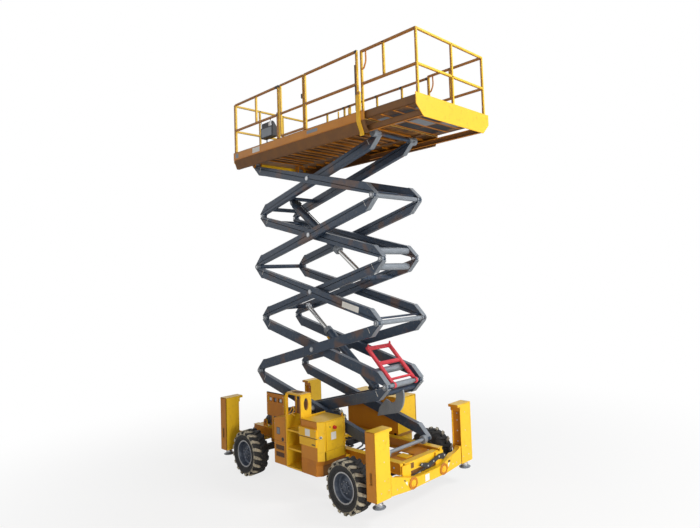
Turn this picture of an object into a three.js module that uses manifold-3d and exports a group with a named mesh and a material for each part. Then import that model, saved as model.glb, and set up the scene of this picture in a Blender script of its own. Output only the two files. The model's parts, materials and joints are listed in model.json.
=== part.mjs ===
// Rough-terrain scissor lift: four-wheel chassis, five-stage scissor stack, roll-out work platform.
// Millimetres. +X points to the front, where the platform rolls out, +Y to the left side, +Z up.
// The pieces are laid out about the middle of the wheelbase on the ground; the last lines move the
// whole machine along X so that the origin is under the middle of its outline.
import * as THREE from 'three';
import { mergeVertices } from 'three/addons/utils/BufferGeometryUtils.js';
import Module from 'manifold-3d';

const wasm = await Module();
wasm.setup();

// Driving dimensions ------------------------------------------------------------------------------
const FIT_GAP = 0.3;
const CENTRE_X = 410;

const WHEELBASE = 2860;
const TYRE_RADIUS = 420;
const TYRE_WIDTH = 305;
const RIM_RADIUS = 243;
const WHEEL_Y = 988;
const KINGPIN_Y = 730;

const PIN_SPAN = 3604;
const LIFT_ANGLE = THREE.MathUtils.degToRad(16.8);
const LEVELS = 5;
const CHASSIS_PIN_Z = 822;
const RISE = PIN_SPAN * Math.sin(LIFT_ANGLE);
const PIN_X = (PIN_SPAN * Math.cos(LIFT_ANGLE)) / 2;

const ARM_DEPTH = 175;
const ARM_OFFSET = 97.5;
const INNER_ARM = [355, 445];
const OUTER_ARM = [484, 574];
const BOSS_RADIUS = 52;
const BOSS_SLOT_RADIUS = 58;
const PIN_RADIUS = 22;
const BORE_RADIUS = 26;
const EYE_BORE_RADIUS = 29.5;
const CENTRE_PIN_RADIUS = 30;
const CENTRE_BORE_RADIUS = 33;
const ROLLER_RADIUS = 70;

const CYLINDER_Y = 150;
const EYE_NEAR = 715.5;
const EYE_FAR = 2790;
const BARREL_LENGTH = 1740;
const BARREL_RADIUS = 75;
const ROD_RADIUS = 42;
const ROD_LENGTH = 1825;

const DECK_FLOOR_Z = 6130;
const DECK_REAR_X = -1990;
const DECK_FRONT_X = 1950;
const DECK_HALF_WIDTH = 900;
const EXTENSION_FRONT_X = 3060;
const TOE_BOARD_TOP_Z = 6280;
const FASCIA_TOP_Z = 6290;
const RAIL_TOP_Z = 7265;
const RAIL_MIDDLE_Z = 6735;
const RAIL_RADIUS = 20;

const OUTRIGGER_X = 2220;
const COLUMN_BACK_X = 2008;
const OUTRIGGER_Y = [860, 1160];
const OUTRIGGER_Z = [380, 1386];

// Paints and finishes -----------------------------------------------------------------------------
const paint = (color, roughness, metalness) => () => (
  new THREE.MeshStandardMaterial({ color, roughness, metalness })
);
const YELLOW = paint(0xeebf22, 0.45, 0.0);
const ORANGE = paint(0xd98a1e, 0.5, 0.0);
const SLATE = paint(0x3c4450, 0.5, 0.1);
const RED = paint(0xcf3440, 0.5, 0.0);
const RUBBER = paint(0x1d1e20, 0.9, 0.0);
const RIM_GREY = paint(0x77808c, 0.45, 0.3);
const DARK = paint(0x23262b, 0.7, 0.1);
const STEEL = paint(0xb9bec4, 0.3, 0.9);
const IRON = paint(0x4a4d50, 0.7, 0.3);

// Solids ------------------------------------------------------------------------------------------
function asSolid(geometry) {
  const bare = geometry.clone();
  bare.deleteAttribute('normal');
  bare.deleteAttribute('uv');
  const merged = mergeVertices(bare, 1e-3);
  const vertProperties = new Float32Array(merged.attributes.position.array);
  const triVerts = new Uint32Array(merged.index.array);
  return new wasm.Manifold(new wasm.Mesh({ numProp: 3, vertProperties, triVerts }));
}

function asGeometry(solid) {
  const mesh = solid.getMesh();
  const geometry = new THREE.BufferGeometry();
  geometry.setAttribute('position', new THREE.BufferAttribute(mesh.vertProperties, 3));
  geometry.setIndex(new THREE.BufferAttribute(mesh.triVerts, 1));
  return geometry;
}

const join = (...solids) => solids.reduce((whole, solid) => whole.add(solid));
const cut = (solid, ...tools) => tools.reduce((rest, tool) => rest.subtract(tool), solid);

function block([x0, x1], [y0, y1], [z0, z1]) {
  const geometry = new THREE.BoxGeometry(x1 - x0, y1 - y0, z1 - z0);
  geometry.translate((x0 + x1) / 2, (y0 + y1) / 2, (z0 + z1) / 2);
  return asSolid(geometry);
}

function outline(points) {
  if (points instanceof THREE.Shape) {
    return points;
  }
  return new THREE.Shape(points.map(([a, b]) => new THREE.Vector2(a, b)));
}

function extruded(points, depth) {
  return new THREE.ExtrudeGeometry(outline(points), { depth, bevelEnabled: false, curveSegments: 4 });
}

// A plate whose outline is drawn in X and Z, from y0 to y1.
function plateXZ(points, [y0, y1]) {
  const geometry = extruded(points, y1 - y0);
  geometry.rotateX(Math.PI / 2);
  geometry.translate(0, y1, 0);
  return asSolid(geometry);
}

// A plate whose outline is drawn in Y and Z, from x0 to x1.
function plateYZ(points, [x0, x1]) {
  const geometry = extruded(points, x1 - x0);
  const along = new THREE.Vector3(0, 1, 0);
  const across = new THREE.Vector3(0, 0, 1);
  const up = new THREE.Vector3(1, 0, 0);
  geometry.applyMatrix4(new THREE.Matrix4().makeBasis(along, across, up));
  geometry.translate(x0, 0, 0);
  return asSolid(geometry);
}

// A round bar between two points; eight flats unless more are asked for.
function bar(from, to, radius, sides = 8) {
  const start = new THREE.Vector3(...from);
  const end = new THREE.Vector3(...to);
  const geometry = new THREE.CylinderGeometry(radius, radius, start.distanceTo(end), sides);
  const direction = end.clone().sub(start).normalize();
  geometry.applyQuaternion(new THREE.Quaternion().setFromUnitVectors(new THREE.Vector3(0, 1, 0), direction));
  const middle = start.add(end).multiplyScalar(0.5);
  geometry.translate(middle.x, middle.y, middle.z);
  return asSolid(geometry);
}

const crossBar = (x, z, radius, [y0, y1], sides = 8) => bar([x, y0, z], [x, y1, z], radius, sides);

// A hose through the given points, rounded where it bends.
function hose(points, radius) {
  const runs = points.slice(1).map((point, i) => bar(points[i], point, radius));
  const bends = points.slice(1, -1).map(([x, y, z]) => (
    asSolid(new THREE.SphereGeometry(radius, 8, 6).translate(x, y, z))
  ));
  return join(...runs, ...bends);
}

// A body turned about the Y axis from a closed profile of [radius, y].
function turned(profile, segments) {
  const points = profile.map(([radius, y]) => new THREE.Vector2(radius, y));
  return asSolid(new THREE.LatheGeometry(points, segments));
}

function mirrorY(solid) {
  const mesh = solid.getMesh();
  const vertProperties = mesh.vertProperties.map((value, index) => (index % 3 === 1 ? -value : value));
  const triVerts = Uint32Array.from(mesh.triVerts);
  for (let corner = 0; corner < triVerts.length; corner += 3) {
    [triVerts[corner + 1], triVerts[corner + 2]] = [triVerts[corner + 2], triVerts[corner + 1]];
  }
  return new wasm.Manifold(new wasm.Mesh({ numProp: 3, vertProperties, triVerts }));
}

const bothSides = (solid) => join(solid, mirrorY(solid));

const lift = new THREE.Group();

function add(name, solid, material, place = () => {}) {
  const mesh = new THREE.Mesh(asGeometry(solid), material());
  mesh.name = name;
  place(mesh);
  lift.add(mesh);
}

// Wheels ------------------------------------------------------------------------------------------
const WHEEL_SEGMENTS = 20;

function tyre() {
  const half = TYRE_WIDTH / 2;
  const bead = RIM_RADIUS + FIT_GAP;
  const profile = [
    [bead, -half + 14],
    [TYRE_RADIUS - 45, -half],
    [TYRE_RADIUS, -half + 38],
    [TYRE_RADIUS, half - 38],
    [TYRE_RADIUS - 45, half],
    [bead, half - 14],
    [bead, -half + 14],
  ];
  return turned(profile, WHEEL_SEGMENTS);
}

// The rim is a dished disc in a rolled barrel, open behind for the hub.
function rim() {
  const profile = [
    [0, 0],
    [222, 10],
    [226, -128],
    [RIM_RADIUS, -128],
    [RIM_RADIUS, 128],
    [222, 128],
    [212, 40],
    [92, 40],
    [84, 96],
    [0, 96],
  ];
  return turned(profile, WHEEL_SEGMENTS);
}

function addWheel(end, side) {
  const name = `${end > 0 ? 'front' : 'rear'}_${side > 0 ? 'left' : 'right'}`;
  const place = (mesh) => {
    mesh.position.set((end * WHEELBASE) / 2, side * WHEEL_Y, TYRE_RADIUS);
    mesh.rotation.z = side > 0 ? 0 : Math.PI;
  };
  add(`${name}_tyre`, tyre(), RUBBER, place);
  add(`${name}_rim`, rim(), RIM_GREY, place);
}

for (const end of [1, -1]) {
  for (const side of [1, -1]) {
    addWheel(end, side);
  }
}

// Axles and knuckles ------------------------------------------------------------------------------
const STUB_END_Y = WHEEL_Y - 6;

function axleBeam(x, halfLength) {
  const beam = block([x - 65, x + 65], [-halfLength, halfLength], [352, 482]);
  const drive = bar([x, -150, TYRE_RADIUS], [x, 150, TYRE_RADIUS], 118, 12);
  const nose = bar([x - Math.sign(x) * 60, 0, TYRE_RADIUS], [x - Math.sign(x) * 250, 0, TYRE_RADIUS], 62);
  return join(beam, drive, nose);
}

function rearAxle() {
  const x = -WHEELBASE / 2;
  const hub = join(
    crossBar(x, TYRE_RADIUS, 105, [690, 800], 12),
    crossBar(x, TYRE_RADIUS, 62, [790, STUB_END_Y]),
  );
  return join(axleBeam(x, 720), bothSides(hub));
}

// Each end of the front axle is a fork that holds the knuckle on its kingpin.
function frontAxle() {
  const x = WHEELBASE / 2;
  const fork = join(
    block([x - 50, x + 50], [600, 640], [300, 540]),
    block([x - 50, x + 50], [600, 775], [515, 540]),
    block([x - 50, x + 50], [600, 775], [300, 325]),
  );
  return join(axleBeam(x, 640), bothSides(fork));
}

function knuckle() {
  const x = WHEELBASE / 2;
  return join(
    bar([x, KINGPIN_Y, 331], [x, KINGPIN_Y, 509], 42),
    crossBar(x, TYRE_RADIUS, 95, [KINGPIN_Y, KINGPIN_Y + 70], 12),
    crossBar(x, TYRE_RADIUS, 62, [KINGPIN_Y, STUB_END_Y]),
  );
}

add('rear_axle', rearAxle(), IRON);
add('front_axle', frontAxle(), IRON);
add('front_left_knuckle', knuckle(), IRON);
add('front_right_knuckle', mirrorY(knuckle()), IRON);

// Chassis -----------------------------------------------------------------------------------------
const CHASSIS_X = [-2080, 2080];
const RAIL_Y = [400, 520];
const ROLLER_TRACK_Z = CHASSIS_PIN_Z - ROLLER_RADIUS - 5;
const CHASSIS_BOTTOM_Z = 565;

function chassisFrame() {
  const rail = join(
    block(CHASSIS_X, RAIL_Y, [CHASSIS_BOTTOM_Z, ROLLER_TRACK_Z]),
    // Side sill that carries the cabinets.
    block([-430, 900], [RAIL_Y[1] - 10, 600], [590, 680]),
    // Ears of the fixed scissor pin at the rear.
    block([-PIN_X - 70, -PIN_X + 70], [455, 476], [ROLLER_TRACK_Z - 5, 885]),
    block([-PIN_X - 70, -PIN_X + 70], [318, 345], [640, 885]),
    crossBar(-PIN_X, CHASSIS_PIN_Z, 25, [318, 476]),
    // Posts down to the axles.
    block([WHEELBASE / 2 - 60, WHEELBASE / 2 + 60], [420, 500], [482 + FIT_GAP, 580]),
    block([-WHEELBASE / 2 - 60, -WHEELBASE / 2 + 60], [420, 500], [482 + FIT_GAP, 580]),
  );
  return join(
    bothSides(rail),
    block([1960, 2080], [-RAIL_Y[0] - 10, RAIL_Y[0] + 10], [CHASSIS_BOTTOM_Z, 715]),
    block([-1810, -1650], [-RAIL_Y[0] - 10, RAIL_Y[0] + 10], [CHASSIS_BOTTOM_Z, 735]),
    block([-2080, -1980], [-RAIL_Y[0] - 10, RAIL_Y[0] + 10], [CHASSIS_BOTTOM_Z, 735]),
    block([-120, 20], [-RAIL_Y[0] - 10, RAIL_Y[0] + 10], [CHASSIS_BOTTOM_Z, 700]),
    block([-1660, -110], [-RAIL_Y[0] - 10, RAIL_Y[0] + 10], [CHASSIS_BOTTOM_Z, 577]),
  );
}

add('chassis_frame', chassisFrame(), YELLOW);

// Outriggers --------------------------------------------------------------------------------------
const ARM_SHAPE = [
  [0, 350],
  [440, 345],
  [OUTRIGGER_Y[0] - FIT_GAP, 385],
  [OUTRIGGER_Y[0] - FIT_GAP, 685],
  [820, 685],
  [500, 585],
  [430, 540],
  [250, 500],
  [0, 500],
];

function outriggerBeam() {
  const half = plateYZ(ARM_SHAPE, [OUTRIGGER_X - 118, OUTRIGGER_X - 12]);
  const flange = bar([OUTRIGGER_X - 12, 370, 440], [OUTRIGGER_X + 4, 370, 440], 92, 12);
  const pin = bar([OUTRIGGER_X, 370, 440], [OUTRIGGER_X + 20, 370, 440], 34);
  const bracket = block([2080 + FIT_GAP, OUTRIGGER_X - 110], [300, 500], [400, 700]);
  return bothSides(join(half, flange, pin, bracket));
}

// A column is a box section with a recessed inner face, capped by a hooked top.
function outriggerColumn() {
  const [inner, outer] = OUTRIGGER_Y;
  const [bottom, top] = OUTRIGGER_Z;
  const wall = 12;
  const depth = [COLUMN_BACK_X, OUTRIGGER_X];
  const hook = [
    [800, top - 45],
    [800, top],
    [outer, top],
    [outer, top - wall],
    [900, top - wall],
    [870, top - 115],
    [inner, top - 115],
  ];
  return join(
    block([OUTRIGGER_X - wall, OUTRIGGER_X], [inner, outer], [bottom, top]),
    block(depth, [outer - wall, outer], [bottom, top]),
    block([COLUMN_BACK_X, COLUMN_BACK_X + wall], [inner + 20, outer], [bottom, top]),
    block(depth, [inner + 50, inner + 50 + wall], [bottom, top]),
    plateYZ(hook, depth),
  );
}

function outriggerLeg() {
  const [x, y] = [2138, 1035];
  const pad = asSolid(new THREE.CylinderGeometry(62, 100, 32, 16).rotateX(Math.PI / 2).translate(x, y, 286));
  return join(
    bar([x, y, 300], [x, y, 1360], 50, 10),
    bar([x, y, 420], [x, y, 1300], 62, 12),
    pad,
  );
}

for (const end of [1, -1]) {
  const endName = end > 0 ? 'front' : 'rear';
  const turn = (mesh) => {
    mesh.rotation.z = end > 0 ? 0 : Math.PI;
  };
  add(`${endName}_outrigger_beam`, outriggerBeam(), YELLOW, turn);
  for (const side of [1, -1]) {
    const handed = (solid) => (side * end > 0 ? solid : mirrorY(solid));
    const name = `${endName}_${side > 0 ? 'left' : 'right'}_outrigger`;
    add(`${name}_column`, handed(outriggerColumn()), YELLOW, turn);
    add(`${name}_leg`, handed(outriggerLeg()), STEEL, turn);
  }
}

// Right side: control cabinet, ladder bay and service panel -----------------------------------------
const CABINET_SIDE_Y = 1120;
const CABINET_INNER_Y = 601;
const SHEET = 12;
const DOOR_Z = [856, 1306];

const CABINET_X = [392, 898];
const CABINET_TOP_Z = 1330;
const CABINET_STEP_X = 850;

function rightFrontCabinet() {
  const [rear, front] = CABINET_X;
  const top = CABINET_TOP_Z;
  const side = [
    [rear, 450],
    [rear, top],
    [front, top],
    [front, 700],
    [CABINET_STEP_X, 620],
    [CABINET_STEP_X, 450],
  ];
  const inside = [
    [rear + SHEET, 470],
    [rear + SHEET, top - SHEET],
    [front - SHEET, top - SHEET],
    [front - SHEET, 706],
    [CABINET_STEP_X - SHEET, 624],
    [CABINET_STEP_X - SHEET, 470],
  ];
  const shell = plateXZ(side, [-CABINET_SIDE_Y, -CABINET_INNER_Y]);
  const room = plateXZ(inside, [-CABINET_SIDE_Y + SHEET, -CABINET_INNER_Y - SHEET]);
  const doorway = block([870, 905], [-1092, -632], [DOOR_Z[0] - 5, DOOR_Z[1] + 5]);
  const eye = cut(block([850, 890], [-640, -625], [1320, 1400]), crossBar(870, 1372, 14, [-650, -610]));
  return join(cut(shell, room, doorway), eye);
}

function rightCabinetDoor() {
  return join(
    block([886, 902], [-1087, -637], DOOR_Z),
    bar([908, -630, DOOR_Z[0] + 40], [908, -630, DOOR_Z[1] - 40], 7, 8),
    block([898 + FIT_GAP, 908], [-655, -628], [DOOR_Z[0] + 40, DOOR_Z[1] - 40]),
  );
}

function rightRearCabinet() {
  const side = [[-430, 455], [-430, 1225], [-62, 1290], [-62, 455]];
  return plateXZ(side, [-CABINET_SIDE_Y, -CABINET_INNER_Y]);
}

// The ladder bay is a recess with four treads; its frame rises above the cabinets as a grab post.
const TREAD_LEVELS = [470, 780, 1090];

function entryLadder() {
  const x = [-60, 390];
  const y = [-CABINET_SIDE_Y, -760];
  const leftCheek = block([x[0], x[0] + 30], y, [455, 1330]);
  const rightCheek = block([x[1] - 20, x[1] - FIT_GAP], y, [455, 1330]);
  const back = block(x.map((value, i) => (i ? value - FIT_GAP : value)), [-772, -760], [455, 1330]);
  const treads = TREAD_LEVELS.map((z) => (
    block([x[0], x[1] - FIT_GAP], [y[0] + 8, y[1]], [z - 12, z + 12])
  ));
  const tower = join(
    block([x[0], x[0] + 40], [y[0], y[0] + 40], [1320, 1720]),
    block([x[0], x[0] + 40], [-920, -900], [1320, 1720]),
    block([x[1] - 45, x[1] - FIT_GAP], [y[0], -900], [1320, 1720]),
    block([x[0], x[1] - FIT_GAP], [y[0], -900], [1690, 1720]),
    block([x[0], x[1] - FIT_GAP], [-912, -900], [1320, 1720]),
  );
  const oval = new THREE.Shape().absellipse(-1012, 1545, 42, 105, 0, Math.PI * 2);
  return cut(join(leftCheek, rightCheek, back, ...treads, tower), plateYZ(oval, [330, 420]));
}

function groundControlBox() {
  const y = [-OUTRIGGER_Y[1], -CABINET_SIDE_Y - FIT_GAP];
  return join(block([360, 830], y, [1060, 1215]), block([380, 820], [y[0] + 10, y[1]], [925, 1065]));
}

const PANEL_FOOT_Z = 1120;
const PANEL_FOOT_PLATE_Z = 760;
const HOSE_RADIUS = 15;

function servicePanel() {
  const frame = block([-1140, -570], [-800, -770], [PANEL_FOOT_Z, 1550]);
  const slots = [-1085, -925, -765].map((x) => block([x, x + 110], [-810, -760], [1385, 1465]));
  const foot = block([-1000, -700], [-775, -530], [690, PANEL_FOOT_PLATE_Z]);
  const riser = (x) => block([x, x + 50], [-790, -760], [690, PANEL_FOOT_Z + 10]);
  const sill = block([-1000, -700], [-560, -520 - FIT_GAP], [600, 760]);
  return join(cut(frame, ...slots), riser(-1000), riser(-750), foot, sill);
}

// Hydraulic hoses hang from the service panel's lower edge to its foot plate, in one clamp.
function rearHoses() {
  const [top, bottom] = [PANEL_FOOT_Z - FIT_GAP, PANEL_FOOT_PLATE_Z + FIT_GAP];
  const drop = (x, bendX, endX) => hose(
    [[x, -785, top], [x, -785, 1000], [bendX, -700, 870], [endX, -660, 800], [endX, -660, bottom]],
    HOSE_RADIUS,
  );
  const clamp = block([-980, -720], [-715, -685], [858, 882]);
  return join(drop(-1090, -960, -950), drop(-910, -870, -870), drop(-650, -740, -770), clamp);
}

// Hoses lie across the well between the middle cross member and the right rail.
function frontHoses() {
  const start = 20 + FIT_GAP;
  const end = -RAIL_Y[0] + FIT_GAP;
  const clamp = block([290, 350], [-90, 230], [602, 698]);
  const loop = ([y, z], turns, [endX, endZ]) => hose(
    [[start, y, z], [90, y, z], ...turns, [endX, -330, endZ], [endX, end, endZ]],
    HOSE_RADIUS,
  );
  return join(
    loop([200, 640], [[710, 200, 660], [830, 50, 660], [810, -200, 640]], [660, 630]),
    loop([80, 660], [[560, 80, 680], [710, -50, 670], [690, -250, 620]], [510, 650]),
    loop([-60, 620], [[460, -60, 630], [570, -150, 660], [510, -280, 660]], [360, 620]),
    clamp,
  );
}

add('right_front_cabinet', rightFrontCabinet(), YELLOW);
add('right_cabinet_door', rightCabinetDoor(), YELLOW);
add('right_rear_cabinet', rightRearCabinet(), YELLOW);
add('entry_ladder', entryLadder(), YELLOW);
add('ground_control_box', groundControlBox(), YELLOW);
add('service_panel', servicePanel(), ORANGE);
add('rear_hoses', rearHoses(), DARK);
add('front_hoses', frontHoses(), DARK);

// Left side: engine bay ----------------------------------------------------------------------------
const HOOD_HINGE = [628, 1392];

function engineBay() {
  const slope = (x) => [
    [828, 470],
    [840, 470],
    [840, 640],
    [x, 740],
    [x, 760],
    [x - SHEET, 760],
    [828, 645],
  ];
  const x = [-430, 960];
  const y = [CABINET_INNER_Y, 1085];
  return join(
    block([x[0], 840], y, [470, 482]),
    block([x[0], x[0] + SHEET], y, [470, 1368]),
    block([x[1] - SHEET, x[1]], y, [745, 1368]),
    plateXZ(slope(x[1]), y),
    block([x[0], 840], [y[0], y[0] + SHEET], [470, 1380]),
    block([830, x[1]], [y[0], y[0] + SHEET], [750, 1380]),
  );
}

function engineHood() {
  const x = [-436, 966];
  const [hingeY, hingeZ] = HOOD_HINGE;
  const side = [[x[0], 520], [834, 520], [834, 645], [x[1], 752], [x[1], 1388], [x[0], 1388]];
  return join(
    block(x, [640, 1106], [1376, 1388]),
    plateXZ(side, [1094, 1106]),
    bar([x[0] + 60, hingeY, hingeZ], [x[1] - 60, hingeY, hingeZ], 9, 8),
    block([x[0] + 60, x[1] - 60], [hingeY, 645], [1382, 1390]),
  );
}

add('engine_bay', engineBay(), YELLOW);
add('engine_hood', engineHood(), YELLOW);
add('engine_block', block([-260, 660], [660, 1040], [500, 1150]), IRON);

// Scissor arms -------------------------------------------------------------------------------------
// An arm lies along local +X from its bottom pin at the origin to its top pin at PIN_SPAN. The tube
// sits above the bottom pin and below the top pin, and each far corner is cut back by an end plate.
function armOutline() {
  const slope = (2 * ARM_OFFSET) / PIN_SPAN;
  const corner = 200;
  const half = ARM_DEPTH / 2;
  const end = [
    [0, ARM_OFFSET - half],
    [-36, 36],
    [-36, 52],
    [corner, ARM_OFFSET + half - corner * slope],
  ];
  const farEnd = end.map(([s, n]) => [PIN_SPAN - s, -n]);
  return [...end, ...farEnd];
}

const ARM_HALF = 45;
const PLATE_GAP = 2;
const BOSS_SIDES = 8;
const PIN_SIDES = 6;

// At a knuckle one arm carries the pin on a plate of half its width, on the inside, and the other
// turns on that pin with a plate on the outside. Widths run across the arm, outwards.
const CARRIER = { plate: [-ARM_HALF, -PLATE_GAP], slot: [-PLATE_GAP, ARM_HALF + 1] };
const FOLLOWER = { plate: [PLATE_GAP, ARM_HALF], slot: [-ARM_HALF - 1, PLATE_GAP] };
const FULL = { plate: [-ARM_HALF, ARM_HALF] };

function shapeArmEnd(arm, end, pinX, middleY) {
  const across = ([w0, w1]) => [middleY + w0, middleY + w1];
  const disc = (radius, band, sides) => crossBar(pinX, 0, radius, across(band), sides);
  const room = end.kind.slot ? cut(arm, disc(BOSS_SLOT_RADIUS, end.kind.slot, BOSS_SIDES)) : arm;
  const bossed = join(room, disc(BOSS_RADIUS, end.kind.plate, BOSS_SIDES));
  if (end.bore) {
    return cut(bossed, disc(end.bore, [-60, 60], PIN_SIDES));
  }
  return join(bossed, disc(PIN_RADIUS, [-ARM_HALF, ARM_HALF], PIN_SIDES));
}

function singleArm([y0, y1], bottom, top) {
  const middleY = (y0 + y1) / 2;
  const tube = plateXZ(armOutline(), [y0, y1]);
  const arm = shapeArmEnd(shapeArmEnd(tube, bottom, 0, middleY), top, PIN_SPAN, middleY);
  if (y0 === INNER_ARM[0]) {
    return cut(arm, crossBar(PIN_SPAN / 2, 0, CENTRE_BORE_RADIUS, [y0 - 20, y1 + 20]));
  }
  const centrePin = join(
    crossBar(PIN_SPAN / 2, 0, CENTRE_PIN_RADIUS, [INNER_ARM[0] - 4, y1 + 2]),
    crossBar(PIN_SPAN / 2, 0, 50, [y1 - 2, y1 + 16], 12),
  );
  return join(arm, centrePin);
}

// Height of a tube's middle above the pin line, at a distance along the arm.
const tubeMiddle = (s) => ARM_OFFSET - (2 * ARM_OFFSET * s) / PIN_SPAN;

const between = ([, y1], overlap = 3) => [-y1 + 90 - overlap, y1 - 90 + overlap];

function crossTube(lane, s, n, radius, sides = 8) {
  return crossBar(s, n, radius, between(lane), sides);
}

// Two cheeks from a cross tube out to a cylinder's eye.
function clevis(fromS, fromN, toS, toN, middleY, halfGap, withPin) {
  const width = 14;
  const length = Math.hypot(toS - fromS, toN - fromN);
  const angle = Math.atan2(toN - fromN, toS - fromS);
  const shape = new THREE.Shape();
  shape.absarc(0, 0, 46, Math.PI / 2, (3 * Math.PI) / 2);
  shape.absarc(length, 0, 40, -Math.PI / 2, Math.PI / 2);
  const cheek = (offset) => {
    const geometry = extruded(shape, width);
    geometry.rotateX(Math.PI / 2);
    geometry.translate(0, offset + width / 2, 0);
    geometry.rotateY(-angle);
    geometry.translate(fromS, 0, fromN);
    return asSolid(geometry);
  };
  const reach = halfGap + width / 2;
  const cheeks = join(cheek(middleY - reach), cheek(middleY + reach));
  const pin = crossBar(toS, toN, 24, [middleY - reach, middleY + reach]);
  return withPin ? join(cheeks, pin) : cheeks;
}

const CLOSE_FIT = 33;
const OPEN_FIT = 85;

// The stop plate under the first inner pair is a heavy hook cut from plate.
function stopPlate() {
  const shape = new THREE.Shape();
  shape.moveTo(2798, -419);
  shape.lineTo(3305, -452);
  shape.quadraticCurveTo(3500, -400, 3555, -172);
  shape.lineTo(3555, -110);
  shape.lineTo(3376, -110);
  shape.quadraticCurveTo(3370, -265, 3207, -256);
  shape.quadraticCurveTo(3140, -250, 3112, -181);
  shape.lineTo(2899, -284);
  shape.closePath();
  return plateXZ(shape, [-16, 16]);
}

function innerExtras(level) {
  const lane = INNER_ARM;
  const at = (s, radius) => crossTube(lane, s, tubeMiddle(s), radius);
  switch (level) {
    case 1:
      return [
        at(3470, 42),
        stopPlate(),
        crossTube(lane, EYE_FAR, -100, 36),
        clevis(EYE_FAR, -100, EYE_FAR, 0, CYLINDER_Y, CLOSE_FIT, true),
      ];
    case 2:
      return [at(400, 57), crossTube(lane, 0, 0, 30)];
    case 3:
      return [
        at(3434, 57),
        at(450, 45),
        clevis(450, tubeMiddle(450), EYE_NEAR, 0, CYLINDER_Y, OPEN_FIT, false),
        crossTube(lane, 2980, -125, 38),
        clevis(2980, -125, EYE_FAR, 0, -CYLINDER_Y, OPEN_FIT, false),
      ];
    case 4:
      return [at(170, 57), at(3434, 40)];
    default:
      return [
        at(170, 40),
        crossTube(lane, EYE_NEAR, 100, 36),
        clevis(EYE_NEAR, 100, EYE_NEAR, 0, -CYLINDER_Y, CLOSE_FIT, true),
      ];
  }
}

// Outer pairs are tied only near their right-hand pins, where the inner arms leave room.
function outerExtras(level) {
  const tieBar = block([56, 96], between(OUTER_ARM), [36, 62]);
  if (level === 1) {
    return [crossTube(OUTER_ARM, 0, 0, 30)];
  }
  const topTube = crossTube(OUTER_ARM, PIN_SPAN, 0, 40);
  if (level === 2) {
    return [topTube];
  }
  return level === 4 ? [topTube, crossTube(OUTER_ARM, 0, 0, 40)] : [tieBar];
}

const rollers = (pinX, y) => bothSides(crossBar(pinX, 0, ROLLER_RADIUS, y, 12));

const carrier = { kind: CARRIER };
const follower = { kind: FOLLOWER, bore: BORE_RADIUS };
const eyeEnd = { kind: FULL, bore: EYE_BORE_RADIUS };
const axleEnd = { kind: FULL };

// Inner arms hang on their upper neighbour's pins. Outer arms share the pins of the even pairs.
function armEnds(inner, level) {
  if (inner) {
    return { bottom: level === 1 ? eyeEnd : carrier, top: level === LEVELS ? axleEnd : follower };
  }
  const even = level % 2 === 0;
  const bottom = level === 1 ? axleEnd : (even ? carrier : follower);
  const top = level === LEVELS ? eyeEnd : (even ? carrier : follower);
  return { bottom, top };
}

function armPair(inner, level) {
  const lane = inner ? INNER_ARM : OUTER_ARM;
  const { bottom, top } = armEnds(inner, level);
  const extras = inner ? innerExtras(level) : outerExtras(level);
  const solids = [bothSides(singleArm(lane, bottom, top)), ...extras];
  if (bottom === axleEnd) {
    solids.push(rollers(0, [408, 486]));
  }
  if (top === axleEnd) {
    solids.push(crossBar(PIN_SPAN, 0, 30, between(lane)), rollers(PIN_SPAN, [443, 520]));
  }
  return join(...solids);
}

for (let level = 1; level <= LEVELS; level += 1) {
  for (const inner of [true, false]) {
    const risesForward = inner === (level % 2 === 1);
    add(`${inner ? 'inner' : 'outer'}_arms_${level}`, armPair(inner, level), SLATE, (mesh) => {
      mesh.position.set(risesForward ? -PIN_X : PIN_X, 0, CHASSIS_PIN_Z + (level - 1) * RISE);
      mesh.rotation.set(0, -LIFT_ANGLE, risesForward ? 0 : Math.PI, 'ZYX');
    });
  }
}

// Lift cylinders -----------------------------------------------------------------------------------
// A point on an arm that rises forward, at a distance along it from its bottom pin.
function onForwardArm(level, s) {
  const x = -PIN_X + s * Math.cos(LIFT_ANGLE);
  const z = CHASSIS_PIN_Z + (level - 1) * RISE + s * Math.sin(LIFT_ANGLE);
  return new THREE.Vector2(x, z);
}

function barrel() {
  const ring = cut(crossBar(0, 0, 54, [-30, 30], 10), crossBar(0, 0, 26.5, [-40, 40]));
  const tube = bar([48, 0, 0], [BARREL_LENGTH, 0, 0], BARREL_RADIUS, 12);
  const gland = bar([BARREL_LENGTH - 90, 0, 0], [BARREL_LENGTH, 0, 0], BARREL_RADIUS + 8, 12);
  const bore = bar([92, 0, 0], [BARREL_LENGTH + 10, 0, 0], ROD_RADIUS + 6, 12);
  return join(ring, cut(join(tube, gland), bore));
}

// The rod lies along local -X from its eye at the origin.
function rod() {
  return join(
    bar([-ROD_LENGTH, 0, 0], [-30, 0, 0], ROD_RADIUS, 12),
    crossBar(0, 0, 52, [-32, 32], 10),
    crossBar(0, 0, 24, [-72, 72]),
  );
}

function addCylinder(name, foot, eye, y) {
  const angle = Math.atan2(eye.y - foot.y, eye.x - foot.x);
  add(`${name}_cylinder_barrel`, barrel(), SLATE, (mesh) => {
    mesh.position.set(foot.x, y, foot.y);
    mesh.rotation.y = -angle;
  });
  add(`${name}_cylinder_rod`, rod(), STEEL, (mesh) => {
    mesh.position.set(eye.x, y, eye.y);
    mesh.rotation.y = -angle;
  });
}

addCylinder('lower', onForwardArm(1, EYE_FAR), onForwardArm(3, EYE_NEAR), CYLINDER_Y);
addCylinder('upper', onForwardArm(5, EYE_NEAR), onForwardArm(3, EYE_FAR), -CYLINDER_Y);

// Safety prop --------------------------------------------------------------------------------------
const PROP_LENGTH = 850;
const PROP_Y = [-230, 290];
const PROP_LEAN = THREE.MathUtils.degToRad(43);

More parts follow.
